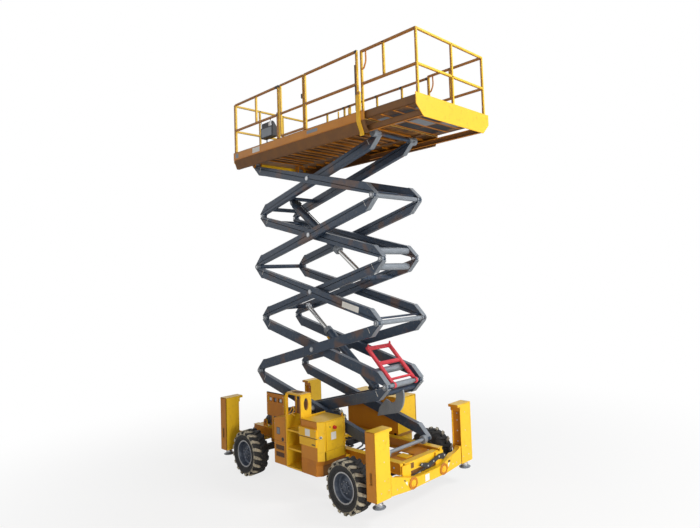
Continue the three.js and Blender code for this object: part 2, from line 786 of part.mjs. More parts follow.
// Local +X runs up the prop from the tube that it hangs on.
function safetyProp() {
  const horn = [
    [PROP_LENGTH - 60, 0],
    [PROP_LENGTH, 0],
    [PROP_LENGTH + 20, -62],
    [PROP_LENGTH - 15, -58],
  ];
  const rail = (y) => join(
    block([38, PROP_LENGTH], [y - 34, y + 34], [-24, 24]),
    cut(crossBar(0, 0, 50, [y - 22, y + 22], 10), crossBar(0, 0, 33, [y - 40, y + 40])),
    plateXZ(horn, [y - 10, y + 10]),
  );
  const rung = (s, half) => block([s - half, s + half], PROP_Y, [-20, 20]);
  return join(rail(PROP_Y[0]), rail(PROP_Y[1]), rung(120, 16), rung(470, 32), rung(PROP_LENGTH - 34, 34));
}

add('safety_prop', safetyProp(), RED, (mesh) => {
  mesh.position.set(PIN_X, 0, CHASSIS_PIN_Z + RISE);
  mesh.rotation.y = -(Math.PI - PROP_LEAN);
});

// Platform -----------------------------------------------------------------------------------------
const TOP_PIN_Z = CHASSIS_PIN_Z + LEVELS * RISE;

// The side member is a channel whose outer face carries the toe board.
function deckSide() {
  const outer = DECK_HALF_WIDTH;
  const section = [
    [outer, TOE_BOARD_TOP_Z],
    [outer - 12, TOE_BOARD_TOP_Z],
    [outer - 12, 6128],
    [outer - 78, 5967],
    [outer - 120, 5967],
    [outer - 120, 5955],
    [outer - 70, 5955],
    [outer, 6124],
  ];
  return plateYZ(section, [DECK_REAR_X, DECK_FRONT_X]);
}

const JOIST_STATIONS = [-1500, -1100, -700, -300, 100, 500, 900, 1300, 1700];

function platformDeck() {
  const width = [-DECK_HALF_WIDTH + 5, DECK_HALF_WIDTH - 5];
  const floor = block([DECK_REAR_X, DECK_FRONT_X], width, [DECK_FLOOR_Z, DECK_FLOOR_Z + 12]);
  const track = block([600, 1940], [448, 530], [TOP_PIN_Z + ROLLER_RADIUS + 5, DECK_FLOOR_Z + 2]);
  const joist = (x) => block([x, x + 50], [-440, 440], [DECK_FLOOR_Z - 36, DECK_FLOOR_Z + 2]);
  const ears = join(
    block([-PIN_X - 60, -PIN_X + 60], [584, 604], [TOP_PIN_Z - 55, DECK_FLOOR_Z + 2]),
    block([-PIN_X - 60, -PIN_X + 60], [452, 474], [TOP_PIN_Z - 55, DECK_FLOOR_Z + 2]),
    crossBar(-PIN_X, TOP_PIN_Z, 25, [452, 604]),
  );
  const rearBoard = block([DECK_REAR_X, DECK_REAR_X + 12], width, [DECK_FLOOR_Z - 60, TOE_BOARD_TOP_Z]);
  const joists = JOIST_STATIONS.map(joist);
  return join(bothSides(join(deckSide(), track, ears)), floor, rearBoard, ...joists);
}

add('platform_deck', platformDeck(), YELLOW);

// The roll-out deck slides over the main floor, with its beams inside the side channels.
const EXTENSION_HALF_WIDTH = 850;
const EXTENSION_REAR_POST_X = 1850;

function extensionDeck() {
  const z = [DECK_FLOOR_Z + 20, DECK_FLOOR_Z + 30];
  const w = EXTENSION_HALF_WIDTH;
  const side = join(
    block([300, EXTENSION_FRONT_X - 10], [w - 125, w - 80], [5975, 6070]),
    block([EXTENSION_REAR_POST_X - 40, EXTENSION_FRONT_X - 10], [w - 12, w], [z[0], TOE_BOARD_TOP_Z]),
  );
  const plate = [
    [-750, 5955],
    [750, 5955],
    [910, 6115],
    [910, FASCIA_TOP_Z],
    [-910, FASCIA_TOP_Z],
    [-910, 6115],
  ];
  return join(
    bothSides(side),
    block([650, EXTENSION_FRONT_X - 10], [-w, w], z),
    plateYZ(plate, [EXTENSION_FRONT_X - 14, EXTENSION_FRONT_X]),
    block([EXTENSION_FRONT_X - 50, EXTENSION_FRONT_X - 10], [-w + 85, w - 85], [6030, 6153]),
  );
}

add('extension_deck', extensionDeck(), YELLOW);

const RAIL_Y_LINE = DECK_HALF_WIDTH - RAIL_RADIUS - 2;
const RAIL_FOOT_Z = TOE_BOARD_TOP_Z + FIT_GAP;

// A square bar about a line that runs along one of the axes.
function squareBar(from, to, half) {
  const span = (axis) => {
    const low = Math.min(from[axis], to[axis]);
    const high = Math.max(from[axis], to[axis]);
    return low === high ? [low - half, high + half] : [low, high];
  };
  return block(span(0), span(1), span(2));
}

// A straight guard rail along a line: a top rail and a middle rail from the first tall post to the
// last, with short posts between the two rails.
function guardRail(pointAt, tallPosts, shortPosts = []) {
  const ends = [tallPosts[0], tallPosts[tallPosts.length - 1]];
  const rail = (z) => squareBar([...pointAt(ends[0]), z], [...pointAt(ends[1]), z], RAIL_RADIUS);
  const post = (station, foot) => {
    const [x, y] = pointAt(station);
    return squareBar([x, y, foot], [x, y, RAIL_TOP_Z], RAIL_RADIUS);
  };
  const tall = tallPosts.map((station) => post(station, RAIL_FOOT_Z));
  const short = shortPosts.map((station) => post(station, RAIL_MIDDLE_Z));
  return join(rail(RAIL_TOP_Z), rail(RAIL_MIDDLE_Z), ...tall, ...short);
}

const GATE_X = [-370, 410];
const REAR_RAIL_X = DECK_REAR_X + RAIL_RADIUS + 2;
const REAR_POST_X = REAR_RAIL_X + 65;
const FRONT_POST_X = 1795;
const SHORT_POST_X = -1147;
const GATE_REAR_POST_X = GATE_X[0] - 22;
const GATE_FRONT_POST_X = GATE_X[1] + 21;
const LEFT_POSTS = [REAR_POST_X, -570, GATE_REAR_POST_X, GATE_FRONT_POST_X, 1120, FRONT_POST_X];
const onRight = (x) => [x, -RAIL_Y_LINE];
const onLeft = (x) => [x, RAIL_Y_LINE];
const atRear = (y) => [REAR_RAIL_X, y];

add('rear_right_rail', guardRail(onRight, [REAR_POST_X, GATE_REAR_POST_X], [SHORT_POST_X]), YELLOW);
add('front_right_rail', guardRail(onRight, [GATE_FRONT_POST_X, FRONT_POST_X]), YELLOW);
add('left_rail', guardRail(onLeft, LEFT_POSTS, [SHORT_POST_X]), YELLOW);
add('rear_rail', guardRail(atRear, [-RAIL_Y_LINE + 21, -285, 285, RAIL_Y_LINE - 21]), YELLOW);

// The gate hangs on the rear gate post and swings in over the deck.
const GATE_HINGE_X = GATE_X[0] + 55;

function gate() {
  const x = [GATE_HINGE_X, GATE_X[1] - 32];
  const y = -RAIL_Y_LINE;
  const half = RAIL_RADIUS - 2;
  const rail = (z) => squareBar([x[0], y, z], [x[1], y, z], half);
  const post = (at) => squareBar([at, y, 6300], [at, y, RAIL_TOP_Z], half);
  return join(rail(RAIL_TOP_Z), rail(RAIL_MIDDLE_Z), rail(6318), post(x[0]), post(x[1]));
}

add('entry_gate', gate(), YELLOW);

function extensionRails() {
  const y = EXTENSION_HALF_WIDTH - RAIL_RADIUS - 8;
  const frontX = EXTENSION_FRONT_X - 34;
  const shortPostX = 2350;
  const frontPostFoot = FASCIA_TOP_Z + FIT_GAP;
  const side = guardRail((x) => [x, y], [EXTENSION_REAR_POST_X, frontX], [shortPostX]);
  const across = (z) => squareBar([frontX, -y, z], [frontX, y, z], RAIL_RADIUS);
  const frontPost = squareBar([frontX, 0, frontPostFoot], [frontX, 0, RAIL_TOP_Z], RAIL_RADIUS);
  return join(bothSides(side), across(RAIL_TOP_Z), across(RAIL_MIDDLE_Z), frontPost);
}

add('extension_rails', extensionRails(), YELLOW);

function platformControlBox() {
  return join(
    block([-1060, -660], [-850, -720], [6400, 6690]),
    block([-1040, -1000], [-856, -840], [6600, 6770]),
    block([-720, -680], [-856, -840], [6600, 6770]),
  );
}

add('platform_control_box', platformControlBox(), DARK);

// The lead runs from the underside of the box to a gland in the inner face of the toe board.
const LEAD_RADIUS = 11;
const LEAD_X = -960;

function controlLead() {
  const boardFace = -(DECK_HALF_WIDTH - 12) + FIT_GAP;
  const boxBottom = 6400 - FIT_GAP;
  const y = -775;
  const z = 6210;
  const route = [
    [LEAD_X, y, boxBottom],
    [LEAD_X, y, z + 30],
    [LEAD_X, y - 30, z],
    [LEAD_X, boardFace, z],
  ];
  return hose(route, LEAD_RADIUS);
}

add('platform_control_lead', controlLead(), DARK);

lift.position.x = -CENTRE_X;

export default lift;
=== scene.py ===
import json
import math

import bmesh
import bpy
from mathutils import Matrix, Vector


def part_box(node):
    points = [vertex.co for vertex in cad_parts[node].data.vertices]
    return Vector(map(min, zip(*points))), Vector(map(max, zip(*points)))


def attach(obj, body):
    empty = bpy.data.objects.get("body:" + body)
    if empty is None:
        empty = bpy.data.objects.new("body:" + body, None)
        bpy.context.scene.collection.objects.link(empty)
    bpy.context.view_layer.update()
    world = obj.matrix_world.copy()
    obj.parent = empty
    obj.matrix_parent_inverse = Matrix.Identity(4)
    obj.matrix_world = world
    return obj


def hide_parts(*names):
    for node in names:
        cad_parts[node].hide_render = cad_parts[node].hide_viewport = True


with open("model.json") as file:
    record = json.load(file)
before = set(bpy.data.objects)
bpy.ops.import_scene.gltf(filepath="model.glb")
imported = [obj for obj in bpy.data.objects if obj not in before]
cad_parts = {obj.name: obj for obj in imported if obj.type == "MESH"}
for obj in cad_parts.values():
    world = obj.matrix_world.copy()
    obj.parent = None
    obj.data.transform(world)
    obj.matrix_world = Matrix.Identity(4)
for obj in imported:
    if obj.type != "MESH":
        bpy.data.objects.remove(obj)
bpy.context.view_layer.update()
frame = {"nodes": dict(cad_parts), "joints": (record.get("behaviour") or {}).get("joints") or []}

# Viewpoint ---------------------------------------------------------------------------------------
# The machine is seen from its front right corner, at about the height of its third stage, and
# slightly from below the platform. The camera leans a little, as a hand-held one does.
scene = bpy.context.scene
scene.view_settings.view_transform = "Standard"

STAND_POINT = Vector((7.736, -6.644, 3.669))
YAW, PITCH, ROLL = (math.radians(angle) for angle in (41.154, 3.237, -2.296))


def add_camera():
    lens = bpy.data.cameras.new("viewpoint")
    lens.sensor_width = 36
    lens.lens = 27.97
    lens.shift_x = -0.108
    lens.shift_y = -0.030
    lens.clip_start = 0.1
    lens.clip_end = 300
    camera = bpy.data.objects.new("viewpoint", lens)
    ahead = Vector((-math.sin(YAW) * math.cos(PITCH), math.cos(YAW) * math.cos(PITCH), math.sin(PITCH)))
    level = ahead.cross(Vector((0, 0, 1))).normalized()
    upright = level.cross(ahead)
    right = level * math.cos(ROLL) + upright * math.sin(ROLL)
    up = upright * math.cos(ROLL) - level * math.sin(ROLL)
    camera.matrix_world = Matrix.Translation(STAND_POINT) @ Matrix((right, up, -ahead)).transposed().to_4x4()
    scene.collection.objects.link(camera)
    scene.camera = camera


add_camera()


# Floor and light ---------------------------------------------------------------------------------
# The studio: a broad pale floor that runs out of sight, white surroundings, one large soft key
# high off the machine's front, a low lamp ahead of it and a weak fill on its right side.
class Flow:
    """A value that runs through a finish's nodes; arithmetic on it adds Math nodes."""

    def __init__(self, finish, socket):
        self.finish = finish
        self.socket = socket

    def math(self, operation, *values):
        inputs = dict(enumerate((self, *values)))
        return self.finish.node("ShaderNodeMath", {"operation": operation}, inputs)

    def __add__(self, other):
        return self.math("ADD", other)

    __radd__ = __add__

    def __mul__(self, other):
        return self.math("MULTIPLY", other)

    __rmul__ = __mul__

    def __sub__(self, other):
        return self.math("SUBTRACT", other)

    def __rsub__(self, other):
        return (self * -1) + other

    def __truediv__(self, other):
        return self.math("DIVIDE", other)

    def __pow__(self, other):
        return self.math("POWER", other)

    def over(self, edge, softness):
        """1 where the value is above the edge and 0 below it, with a soft step between."""
        low, high = edge - softness, edge + softness
        settings = {"interpolation_type": "SMOOTHSTEP"}
        return self.finish.node("ShaderNodeMapRange", settings, {"Value": self, "From Min": low,
                                                                 "From Max": high})


class Finish:
    """A surface finish and the nodes that make it up."""

    def __init__(self, name, tree=None):
        self.name = name
        if tree is None:
            self.material = bpy.data.materials.new(name)
            self.material.use_nodes = True
            tree = self.material.node_tree
        self.tree = tree

    def node(self, kind, settings=None, inputs=None, output=0):
        made = self.tree.nodes.new(kind)
        for key, value in (settings or {}).items():
            setattr(made, key, value)
        for key, value in (inputs or {}).items():
            self.feed(made.inputs[key], value)
        return Flow(self, made.outputs[output])

    def feed(self, socket, value):
        if isinstance(value, Flow):
            self.tree.links.new(value.socket, socket)
        else:
            socket.default_value = value

    def blend(self, mask, under, over):
        """One colour over another, by a mask."""
        return self.node("ShaderNodeMix", {"data_type": "RGBA"}, {0: mask, 6: under, 7: over}, output=2)

    def coat(self, **values):
        """Sets the shader's own sockets: base_color for Base Color, and so on."""
        shader = self.tree.nodes["Principled BSDF"]
        for key, value in values.items():
            title = {"ior": "IOR"}.get(key, key.replace("_", " ").title())
            self.feed(shader.inputs[title], value)
        return self

    def place(self):
        """Where a point lies on the piece, in metres."""
        return self.node("ShaderNodeTexCoord", output="Object")

    def grain(self, size, detail=3, rough=0.5, where=None):
        """Soft noise whose patches are about this size, in metres."""
        where = where or self.place()
        inputs = {"Vector": where, "Scale": 1 / size, "Detail": detail, "Roughness": rough}
        return self.node("ShaderNodeTexNoise", inputs=inputs)

    def relief(self, height, depth, strength=1.0):
        """A bump of this depth, in metres, from a height between 0 and 1."""
        return self.node("ShaderNodeBump", inputs={"Height": height, "Distance": depth, "Strength": strength},
                         output="Normal")


def shows_background(finish):
    """1 for the rays that should meet white surroundings rather than the lit ones."""
    seen = [finish.node("ShaderNodeLightPath", output=kind) for kind in
            ("Is Camera Ray", "Is Glossy Ray", "Is Transmission Ray")]
    return (seen[0] + seen[1] + seen[2]).math("MINIMUM", 1)


SURROUND_LEVEL = 0.26


def add_surroundings():
    world = bpy.data.worlds.new("surroundings")
    world.use_nodes = True
    air = Finish("surroundings", world.node_tree)
    strength = shows_background(air) * (1 - SURROUND_LEVEL) + SURROUND_LEVEL
    background = world.node_tree.nodes["Background"]
    background.inputs["Color"].default_value = (1, 1, 1, 1)
    air.feed(background.inputs["Strength"], strength)
    scene.world = world


def add_floor():
    paint = Finish("pale_floor")
    paint.coat(base_color=(0.86, 0.86, 0.86, 1), roughness=0.9)
    glow = paint.node("ShaderNodeEmission", inputs={"Color": (1, 1, 1, 1), "Strength": 1.0})
    lit = Flow(paint, paint.tree.nodes["Principled BSDF"].outputs["BSDF"])
    away = paint.node("ShaderNodeVectorMath", {"operation": "LENGTH"}, {0: paint.place()}, "Value")
    seen = paint.node("ShaderNodeLightPath", output="Is Camera Ray")
    share = seen * (away.over(6.0, 4.0) * 0.22 + 0.78)
    surface = paint.node("ShaderNodeMixShader", inputs={0: share, 1: lit, 2: glow})
    paint.feed(paint.tree.nodes["Material Output"].inputs["Surface"], surface)
    sheet = bmesh.new()
    bmesh.ops.create_grid(sheet, x_segments=1, y_segments=1, size=90)
    mesh = bpy.data.meshes.new("studio_floor")
    sheet.to_mesh(mesh)
    sheet.free()
    mesh.materials.append(paint.material)
    floor = bpy.data.objects.new("studio_floor", mesh)
    floor.location.z = -0.002
    scene.collection.objects.link(floor)


def add_lamp(name, place, target, size, watts, colour=(1, 1, 1)):
    lamp = bpy.data.lights.new(name, "AREA")
    lamp.size = size
    lamp.energy = watts
    lamp.color = colour
    holder = bpy.data.objects.new(name, lamp)
    holder.location = place
    holder.rotation_mode = "QUATERNION"
    holder.rotation_quaternion = (Vector(target) - Vector(place)).to_track_quat("-Z", "Y")
    scene.collection.objects.link(holder)


add_surroundings()
add_floor()
add_lamp("key", (14, 5, 14), (0, 0, 3.2), 5, 1650)
add_lamp("front", (11, -3, 1.6), (0, 0, 1.2), 4, 640, (1.0, 0.96, 0.88))
add_lamp("fill", (1, -13, 5), (0, 0, 3), 6, 160, (1.0, 0.84, 0.66))


# Wheels ------------------------------------------------------------------------------------------
# Rough-terrain tyres with deep angled lugs, moulded in black rubber, dusty on the outer shoulder.
# Each sits on a pressed steel rim with a dished disc, painted grey, that is bolted to the hub.
LUG_COUNT = 17
DISC_BOLTS = 8
AXLE_MIDDLE = (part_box("front_left_tyre")[0].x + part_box("rear_left_tyre")[1].x) / 2
HALF_WHEELBASE = (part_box("front_left_tyre")[0].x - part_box("rear_left_tyre")[0].x) / 2
HUB_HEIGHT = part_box("front_left_tyre")[1].z / 2


def outer_shoulder(finish):
    """1 on the outer half of a tyre's lugs, which run in the dust, and 0 between them and on its sides."""
    place = finish.place()
    x, y, z = [finish.node("ShaderNodeSeparateXYZ", inputs={0: place}, output=i) for i in range(3)]
    ahead = (x - AXLE_MIDDLE).math("ABSOLUTE") - HALF_WHEELBASE
    above = z - HUB_HEIGHT
    reach = (ahead * ahead + above * above) ** 0.5
    side = y.math("ABSOLUTE")
    crown = side.over(1.020, 0.030) * reach.over(0.399, 0.006)
    face = side.over(1.132, 0.003) * reach.over(0.350, 0.010)
    return crown.math("MAXIMUM", face)


def rubber():
    tread = Finish("tyre_rubber")
    blotches = tread.grain(0.10, 4, 0.65)
    speckle = tread.grain(0.012, 3, 0.7)
    tone = tread.blend(blotches, (0.010, 0.011, 0.013, 1), (0.032, 0.033, 0.036, 1))
    tone = tread.blend(speckle.over(0.6, 0.1) * 0.35, tone, (0.10, 0.095, 0.085, 1))
    dust = outer_shoulder(tread) * (blotches * 0.6 + speckle * 0.4).over(0.44, 0.10) * 0.92
    tone = tread.blend(dust, tone, (0.60, 0.545, 0.42, 1))
    height = (speckle * 0.6) + (blotches * 0.4)
    tread.coat(base_color=tone, roughness=blotches * 0.25 + 0.62, normal=tread.relief(height, 0.0015))
    return tread


def rim_paint():
    paint = Finish("rim_paint")
    clouds = paint.grain(0.07, 4, 0.6)
    fine = paint.grain(0.006, 3, 0.6)
    tone = paint.blend(clouds, (0.045, 0.062, 0.100, 1), (0.13, 0.155, 0.20, 1))
    tone = paint.blend(fine.over(0.64, 0.05) * clouds, tone, (0.33, 0.33, 0.32, 1))
    paint.coat(base_color=tone, metallic=0.35, roughness=clouds * 0.25 + 0.30,
               normal=paint.relief(fine, 0.0006))
    return paint


def bright_steel():
    steel = Finish("bright_steel")
    clouds = steel.grain(0.05, 4, 0.6)
    fine = steel.grain(0.003, 2, 0.6)
    tone = steel.blend(clouds, (0.50, 0.52, 0.55, 1), (0.72, 0.73, 0.75, 1))
    steel.coat(base_color=tone, metallic=0.85, roughness=clouds * 0.2 + 0.22,
               normal=steel.relief(fine, 0.0003))
    return steel


RUBBER = rubber()
RIM = rim_paint()
STEEL = bright_steel()

SHARP_ANGLE = math.radians(34)


class Weldment:
    """A piece put together from shapes, each with its own finish.

    Place moves its own axes to the machine's."""

    def __init__(self, place=None):
        self.mesh = bmesh.new()
        self.finishes = []
        self.place = place or Matrix()

    def take(self, part, finish, bevel=0.0, steps=2):
        """Bevels a shape's hard edges, gives it its finish and joins it to the piece."""
        bmesh.ops.remove_doubles(part, verts=part.verts, dist=1e-6)
        bmesh.ops.recalc_face_normals(part, faces=part.faces)
        if bevel:
            hard = [e for e in part.edges if e.is_manifold and e.calc_face_angle() > SHARP_ANGLE]
            bmesh.ops.bevel(part, geom=hard, offset=bevel, segments=steps, affect="EDGES", clamp_overlap=True)
        if finish not in self.finishes:
            self.finishes.append(finish)
        for face in part.faces:
            face.material_index = self.finishes.index(finish)
            face.smooth = True
        bmesh.ops.transform(part, matrix=self.place, verts=part.verts)
        shape = bpy.data.meshes.new("shape")
        part.to_mesh(shape)
        part.free()
        self.mesh.from_mesh(shape)
        bpy.data.meshes.remove(shape)

    def block(self, low, high, finish, bevel=0.003, turn=None):
        part = bmesh.new()
        bmesh.ops.create_cube(part, size=1)
        low, high = Vector(low), Vector(high)
        size = Matrix.Diagonal((high - low).to_4d())
        middle = Matrix.Translation((low + high) / 2)
        bmesh.ops.transform(part, matrix=middle @ (turn or Matrix()) @ size, verts=part.verts)
        self.take(part, finish, bevel)

    def plate(self, outline, across, span, finish, bevel=0.002):
        """A flat outline, drawn in the two axes that are not across, through a span of the third."""
        part = bmesh.new()
        axes = [axis for axis in range(3) if axis != across]
        rings = []
        for level in span:
            ring = []
            for a, b in outline:
                point = [level] * 3
                point[axes[0]], point[axes[1]] = a, b
                ring.append(part.verts.new(point))
            rings.append(ring)
        count = len(outline)
        part.faces.new(rings[0])
        part.faces.new(reversed(rings[1]))
        for i in range(count):
            part.faces.new((rings[0][i], rings[1][i], rings[1][(i + 1) % count], rings[0][(i + 1) % count]))
        self.take(part, finish, bevel)

    def turned(self, profile, origin, axis, finish, sides=48, bevel=0.0):
        """A closed profile of (radius, along) points turned about an axis."""
        part = bmesh.new()
        rings = []
        for radius, along in profile:
            if radius < 1e-6:
                rings.append([part.verts.new((0, 0, along))] * sides)
            else:
                turns = [2 * math.pi * i / sides for i in range(sides)]
                rings.append([part.verts.new((radius * math.cos(t), radius * math.sin(t),
                                              along)) for t in turns])
        for lower, upper in zip(rings, rings[1:]):
            for i in range(sides):
                corners = [lower[i], lower[(i + 1) % sides], upper[(i + 1) % sides], upper[i]]
                corners = list(dict.fromkeys(corners))
                if len(corners) > 2:
                    part.faces.new(corners)
        turn = Vector((0, 0, 1)).rotation_difference(Vector(axis)).to_matrix().to_4x4()
        bmesh.ops.transform(part, matrix=Matrix.Translation(origin) @ turn, verts=part.verts)
        self.take(part, finish, bevel)

    def rod(self, start, end, radius, finish, sides=24, bevel=0.002):
        start, end = Vector(start), Vector(end)
        length = (end - start).length
        edge = min(bevel, radius / 2)
        profile = [(0, 0), (radius - edge, 0), (radius, edge), (radius, length - edge),
                   (radius - edge, length),
                   (0, length)]
        self.turned(profile, start, end - start, finish, sides)

    def ring(self, centre, axis, inner, outer, width, finish, sides=32, edge=0.002):
        """A flat ring, such as a boss or a washer, centred on a point."""
        half = width / 2
        profile = [(inner, -half), (outer - edge, -half), (outer, edge - half), (outer, half - edge),
                   (outer - edge, half), (inner, half), (inner, -half)]
        self.turned(profile, centre, axis, finish, sides)

    def pipe(self, points, radius, finish, bend=0.06, sides=12):
        """A round tube or hose along straight runs joined by bends."""
        part = bmesh.new()
        line = bent(points, bend)
        rings = []
        side = None
        for i, point in enumerate(line):
            ahead = (line[min(i + 1, len(line) - 1)] - line[max(i - 1, 0)]).normalized()
            if side is None:
                side = ahead.orthogonal().normalized()
            side = (side - ahead * side.dot(ahead)).normalized()
            other = ahead.cross(side)
            turns = [2 * math.pi * k / sides for k in range(sides)]
            around = [side * math.cos(t) + other * math.sin(t) for t in turns]
            rings.append([part.verts.new(point + spoke * radius) for spoke in around])
        for lower, upper in zip(rings, rings[1:]):
            for k in range(sides):
                part.faces.new((lower[k], lower[(k + 1) % sides], upper[(k + 1) % sides], upper[k]))
        part.faces.new(rings[0])
        part.faces.new(reversed(rings[-1]))
        self.take(part, finish)

    def made(self, name, body, slot, *nodes):
        """Closes the piece, lets it ride on its body and stand for its CAD nodes."""
        for edge in self.mesh.edges:
            edge.smooth = not (edge.is_manifold and edge.calc_face_angle() > SHARP_ANGLE)
        mesh = bpy.data.meshes.new(name)
        self.mesh.to_mesh(mesh)
        self.mesh.free()
        for finish in self.finishes:
            mesh.materials.append(finish.material)
        piece = bpy.data.objects.new(name, mesh)
        scene.collection.objects.link(piece)
        piece.modifiers.new("even_shading", "WEIGHTED_NORMAL").keep_sharp = True
        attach(piece, body)
        if nodes:
            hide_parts(*nodes)
        return piece


def bent(points, bend, steps=6):
    """The points of a line whose corners are rounded to about this radius."""
    points = [Vector(p) for p in points]
    line = [points[0]]
    for before, corner, after in zip(points, points[1:], points[2:]):
        reach = min(bend, (before - corner).length * 0.49, (after - corner).length * 0.49)
        start = corner + (before - corner).normalized() * reach
        end = corner + (after - corner).normalized() * reach
        for i in range(steps + 1):
            t = i / steps
            line.append(start * (1 - t) ** 2 + corner * 2 * t * (1 - t) + end * t ** 2)
    line.append(points[-1])
    return line


def tread_bar(turn, side, radius, half):
    """One tread bar, from near the middle of the tread out over the shoulder."""
    stations = [
        (-0.10, radius - 0.002, 0.00, 0.052),
        (0.25, radius, 0.055, 0.058),
        (0.60, radius - 0.001, 0.125, 0.068),
        (0.86, radius - 0.006, 0.175, 0.078),
        (0.985, radius - 0.030, 0.190, 0.080),
        (1.0, radius - 0.075, 0.190, 0.078),
        (0.985, radius - 0.098, 0.190, 0.060),
    ]
    part = bmesh.new()
    rings = []
    for reach, top, drift, wide in stations:
        y = side * half * reach
        base = min(top - 0.004, radius - 0.034)
        y_base = side * min(half * reach, half * 0.93) if reach > 0 else y
        ring = []
        for r, at, spread in ((base, y_base, 1.12), (top, y, 0.86), (top, y, -0.86), (base, y_base, -1.12)):
            angle = turn + drift + wide * spread
            ring.append(part.verts.new((r * math.cos(angle), at, r * math.sin(angle))))
        rings.append(ring)
    for lower, upper in zip(rings, rings[1:]):
        for k in range(4):
            part.faces.new((lower[k], lower[(k + 1) % 4], upper[(k + 1) % 4], upper[k]))
    part.faces.new(rings[0])
    part.faces.new(reversed(rings[-1]))
    return part


def add_tyre(name, body):
    low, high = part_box(name)
    centre = (low + high) / 2
    radius = (high.z - low.z) / 2
    half = (high.y - low.y) / 2
    outward = 1 if centre.y > 0 else -1
    tyre = Weldment(Matrix.Translation(centre) @ Matrix.Scale(outward, 4, Vector((0, 1, 0))))
    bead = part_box(name.replace("tyre", "rim"))
    inner = (bead[1].z - bead[0].z) / 2 + 0.001
    wall = [(inner, half * 0.80), (inner + 0.012, half * 0.90), (inner + 0.03, half * 0.93),
            (radius * 0.76, half * 0.97), (radius * 0.84, half * 0.96), (radius - 0.045, half * 0.90),
            (radius - 0.032, half * 0.78), (radius - 0.029, half * 0.4)]
    section = wall + [(r, -y) for r, y in reversed(wall)] + [wall[0]]
    tyre.turned(section, (0, 0, 0), (0, 1, 0), RUBBER, 72)
    for reach, tall in ((0.655, 0.004), (0.70, 0.003)):
        for side in (1, -1):
            tyre.ring((0, side * half * 0.93, 0), (0, 1, 0), radius * reach, radius * (reach + 0.012),
                      0.012 + tall, RUBBER, 72)
    for i in range(LUG_COUNT):
        turn = 2 * math.pi * i / LUG_COUNT
        step = math.pi / LUG_COUNT
        tyre.take(tread_bar(turn, -1, radius, half), RUBBER, 0.005, 1)
        tyre.take(tread_bar(turn + step, 1, radius, half), RUBBER, 0.005, 1)
    tyre.made(name + "_tread", body, "tyre", name)


def add_rim(name, body):
    low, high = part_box(name)
    centre = (low + high) / 2
    radius = (high.z - low.z) / 2
    half = (high.y - low.y) / 2
    outward = 1 if centre.y > 0 else -1
    rim = Weldment(Matrix.Translation(centre) @ Matrix.Scale(outward, 4, Vector((0, 1, 0))))
    flange = [(radius, half), (radius, half - 0.014), (radius - 0.018, half - 0.020),
              (radius - 0.020, half - 0.001)]
    rim.turned([*flange, flange[0]], (0, 0, 0), (0, 1, 0), STEEL, 64)
    disc = [(radius - 0.019, half - 0.006), (radius - 0.024, half - 0.012), (radius - 0.030, half - 0.050),
            (radius - 0.036, half - 0.086), (radius - 0.058, half - 0.098), (radius - 0.100, half - 0.088),
            (radius - 0.128, half - 0.066), (0.098, half - 0.062), (0.088, half - 0.058), (0, half - 0.058),
            (0, -0.01), (0.19, 0.0), (radius - 0.018, -half + 0.002), (radius - 0.002, -half + 0.002),
            (radius - 0.004, half - 0.02), (radius - 0.019, half - 0.006)]
    rim.turned(disc, (0, 0, 0), (0, 1, 0), RIM, 64)
    face = half - 0.060
    hub = [(0, face), (0.066, face), (0.070, face + 0.004), (0.068, face + 0.018), (0.046, face + 0.024),
           (0.044, face + 0.036), (0.020, face + 0.040), (0, face + 0.040)]
    rim.turned(hub, (0, 0, 0), (0, 1, 0), RIM, 40)
    for i in range(DISC_BOLTS):
        turn = 2 * math.pi * (i + 0.5) / DISC_BOLTS
        at = Vector((0.090 * math.cos(turn), face, 0.090 * math.sin(turn)))
        rim.rod(at, at + Vector((0, 0.014, 0)), 0.0115, RIM, 6)
        rim.rod(at, at + Vector((0, 0.024, 0)), 0.006, STEEL, 10)
    rim.rod((radius - 0.05, half - 0.09, 0), (radius - 0.044, half - 0.035, 0), 0.005, RUBBER, 8)
    rim.made(name + "_disc", body, "rim_paint", name)


for end in ("front", "rear"):
    for hand in ("left", "right"):
        add_tyre(f"{end}_{hand}_tyre", f"{end}_{hand}_wheel")
        add_rim(f"{end}_{hand}_rim", f"{end}_{hand}_wheel")


# Scissor arms ------------------------------------------------------------------------------------
# Five stages of welded box-section arms in slate paint, inner pairs and outer pairs, tied by round
# cross tubes. Arms meet at pins carried in half-width lugs; the diagonal ends have capping plates.
JOINTS = {joint["name"]: joint for joint in frame["joints"]}
STAGES = 5
REAR_PIN = Vector(JOINTS["lift"]["pos_m"])
FRONT_PIN = Vector(JOINTS["inner_fold_2"]["pos_m"])
SPAN = (FRONT_PIN - REAR_PIN).length
STAGE_RISE = FRONT_PIN.z - REAR_PIN.z
LEAN = math.asin(STAGE_RISE / SPAN)

BEAM_DEPTH = 0.175
BEAM_OFFSET = 0.0975
BEAM_CORNER = 0.200
INNER_LANE = (0.355, 0.445)
OUTER_LANE = (0.484, 0.574)
LUG_RADIUS = 0.052
LUG_ROOM = 0.056
PIN_RADIUS = 0.022


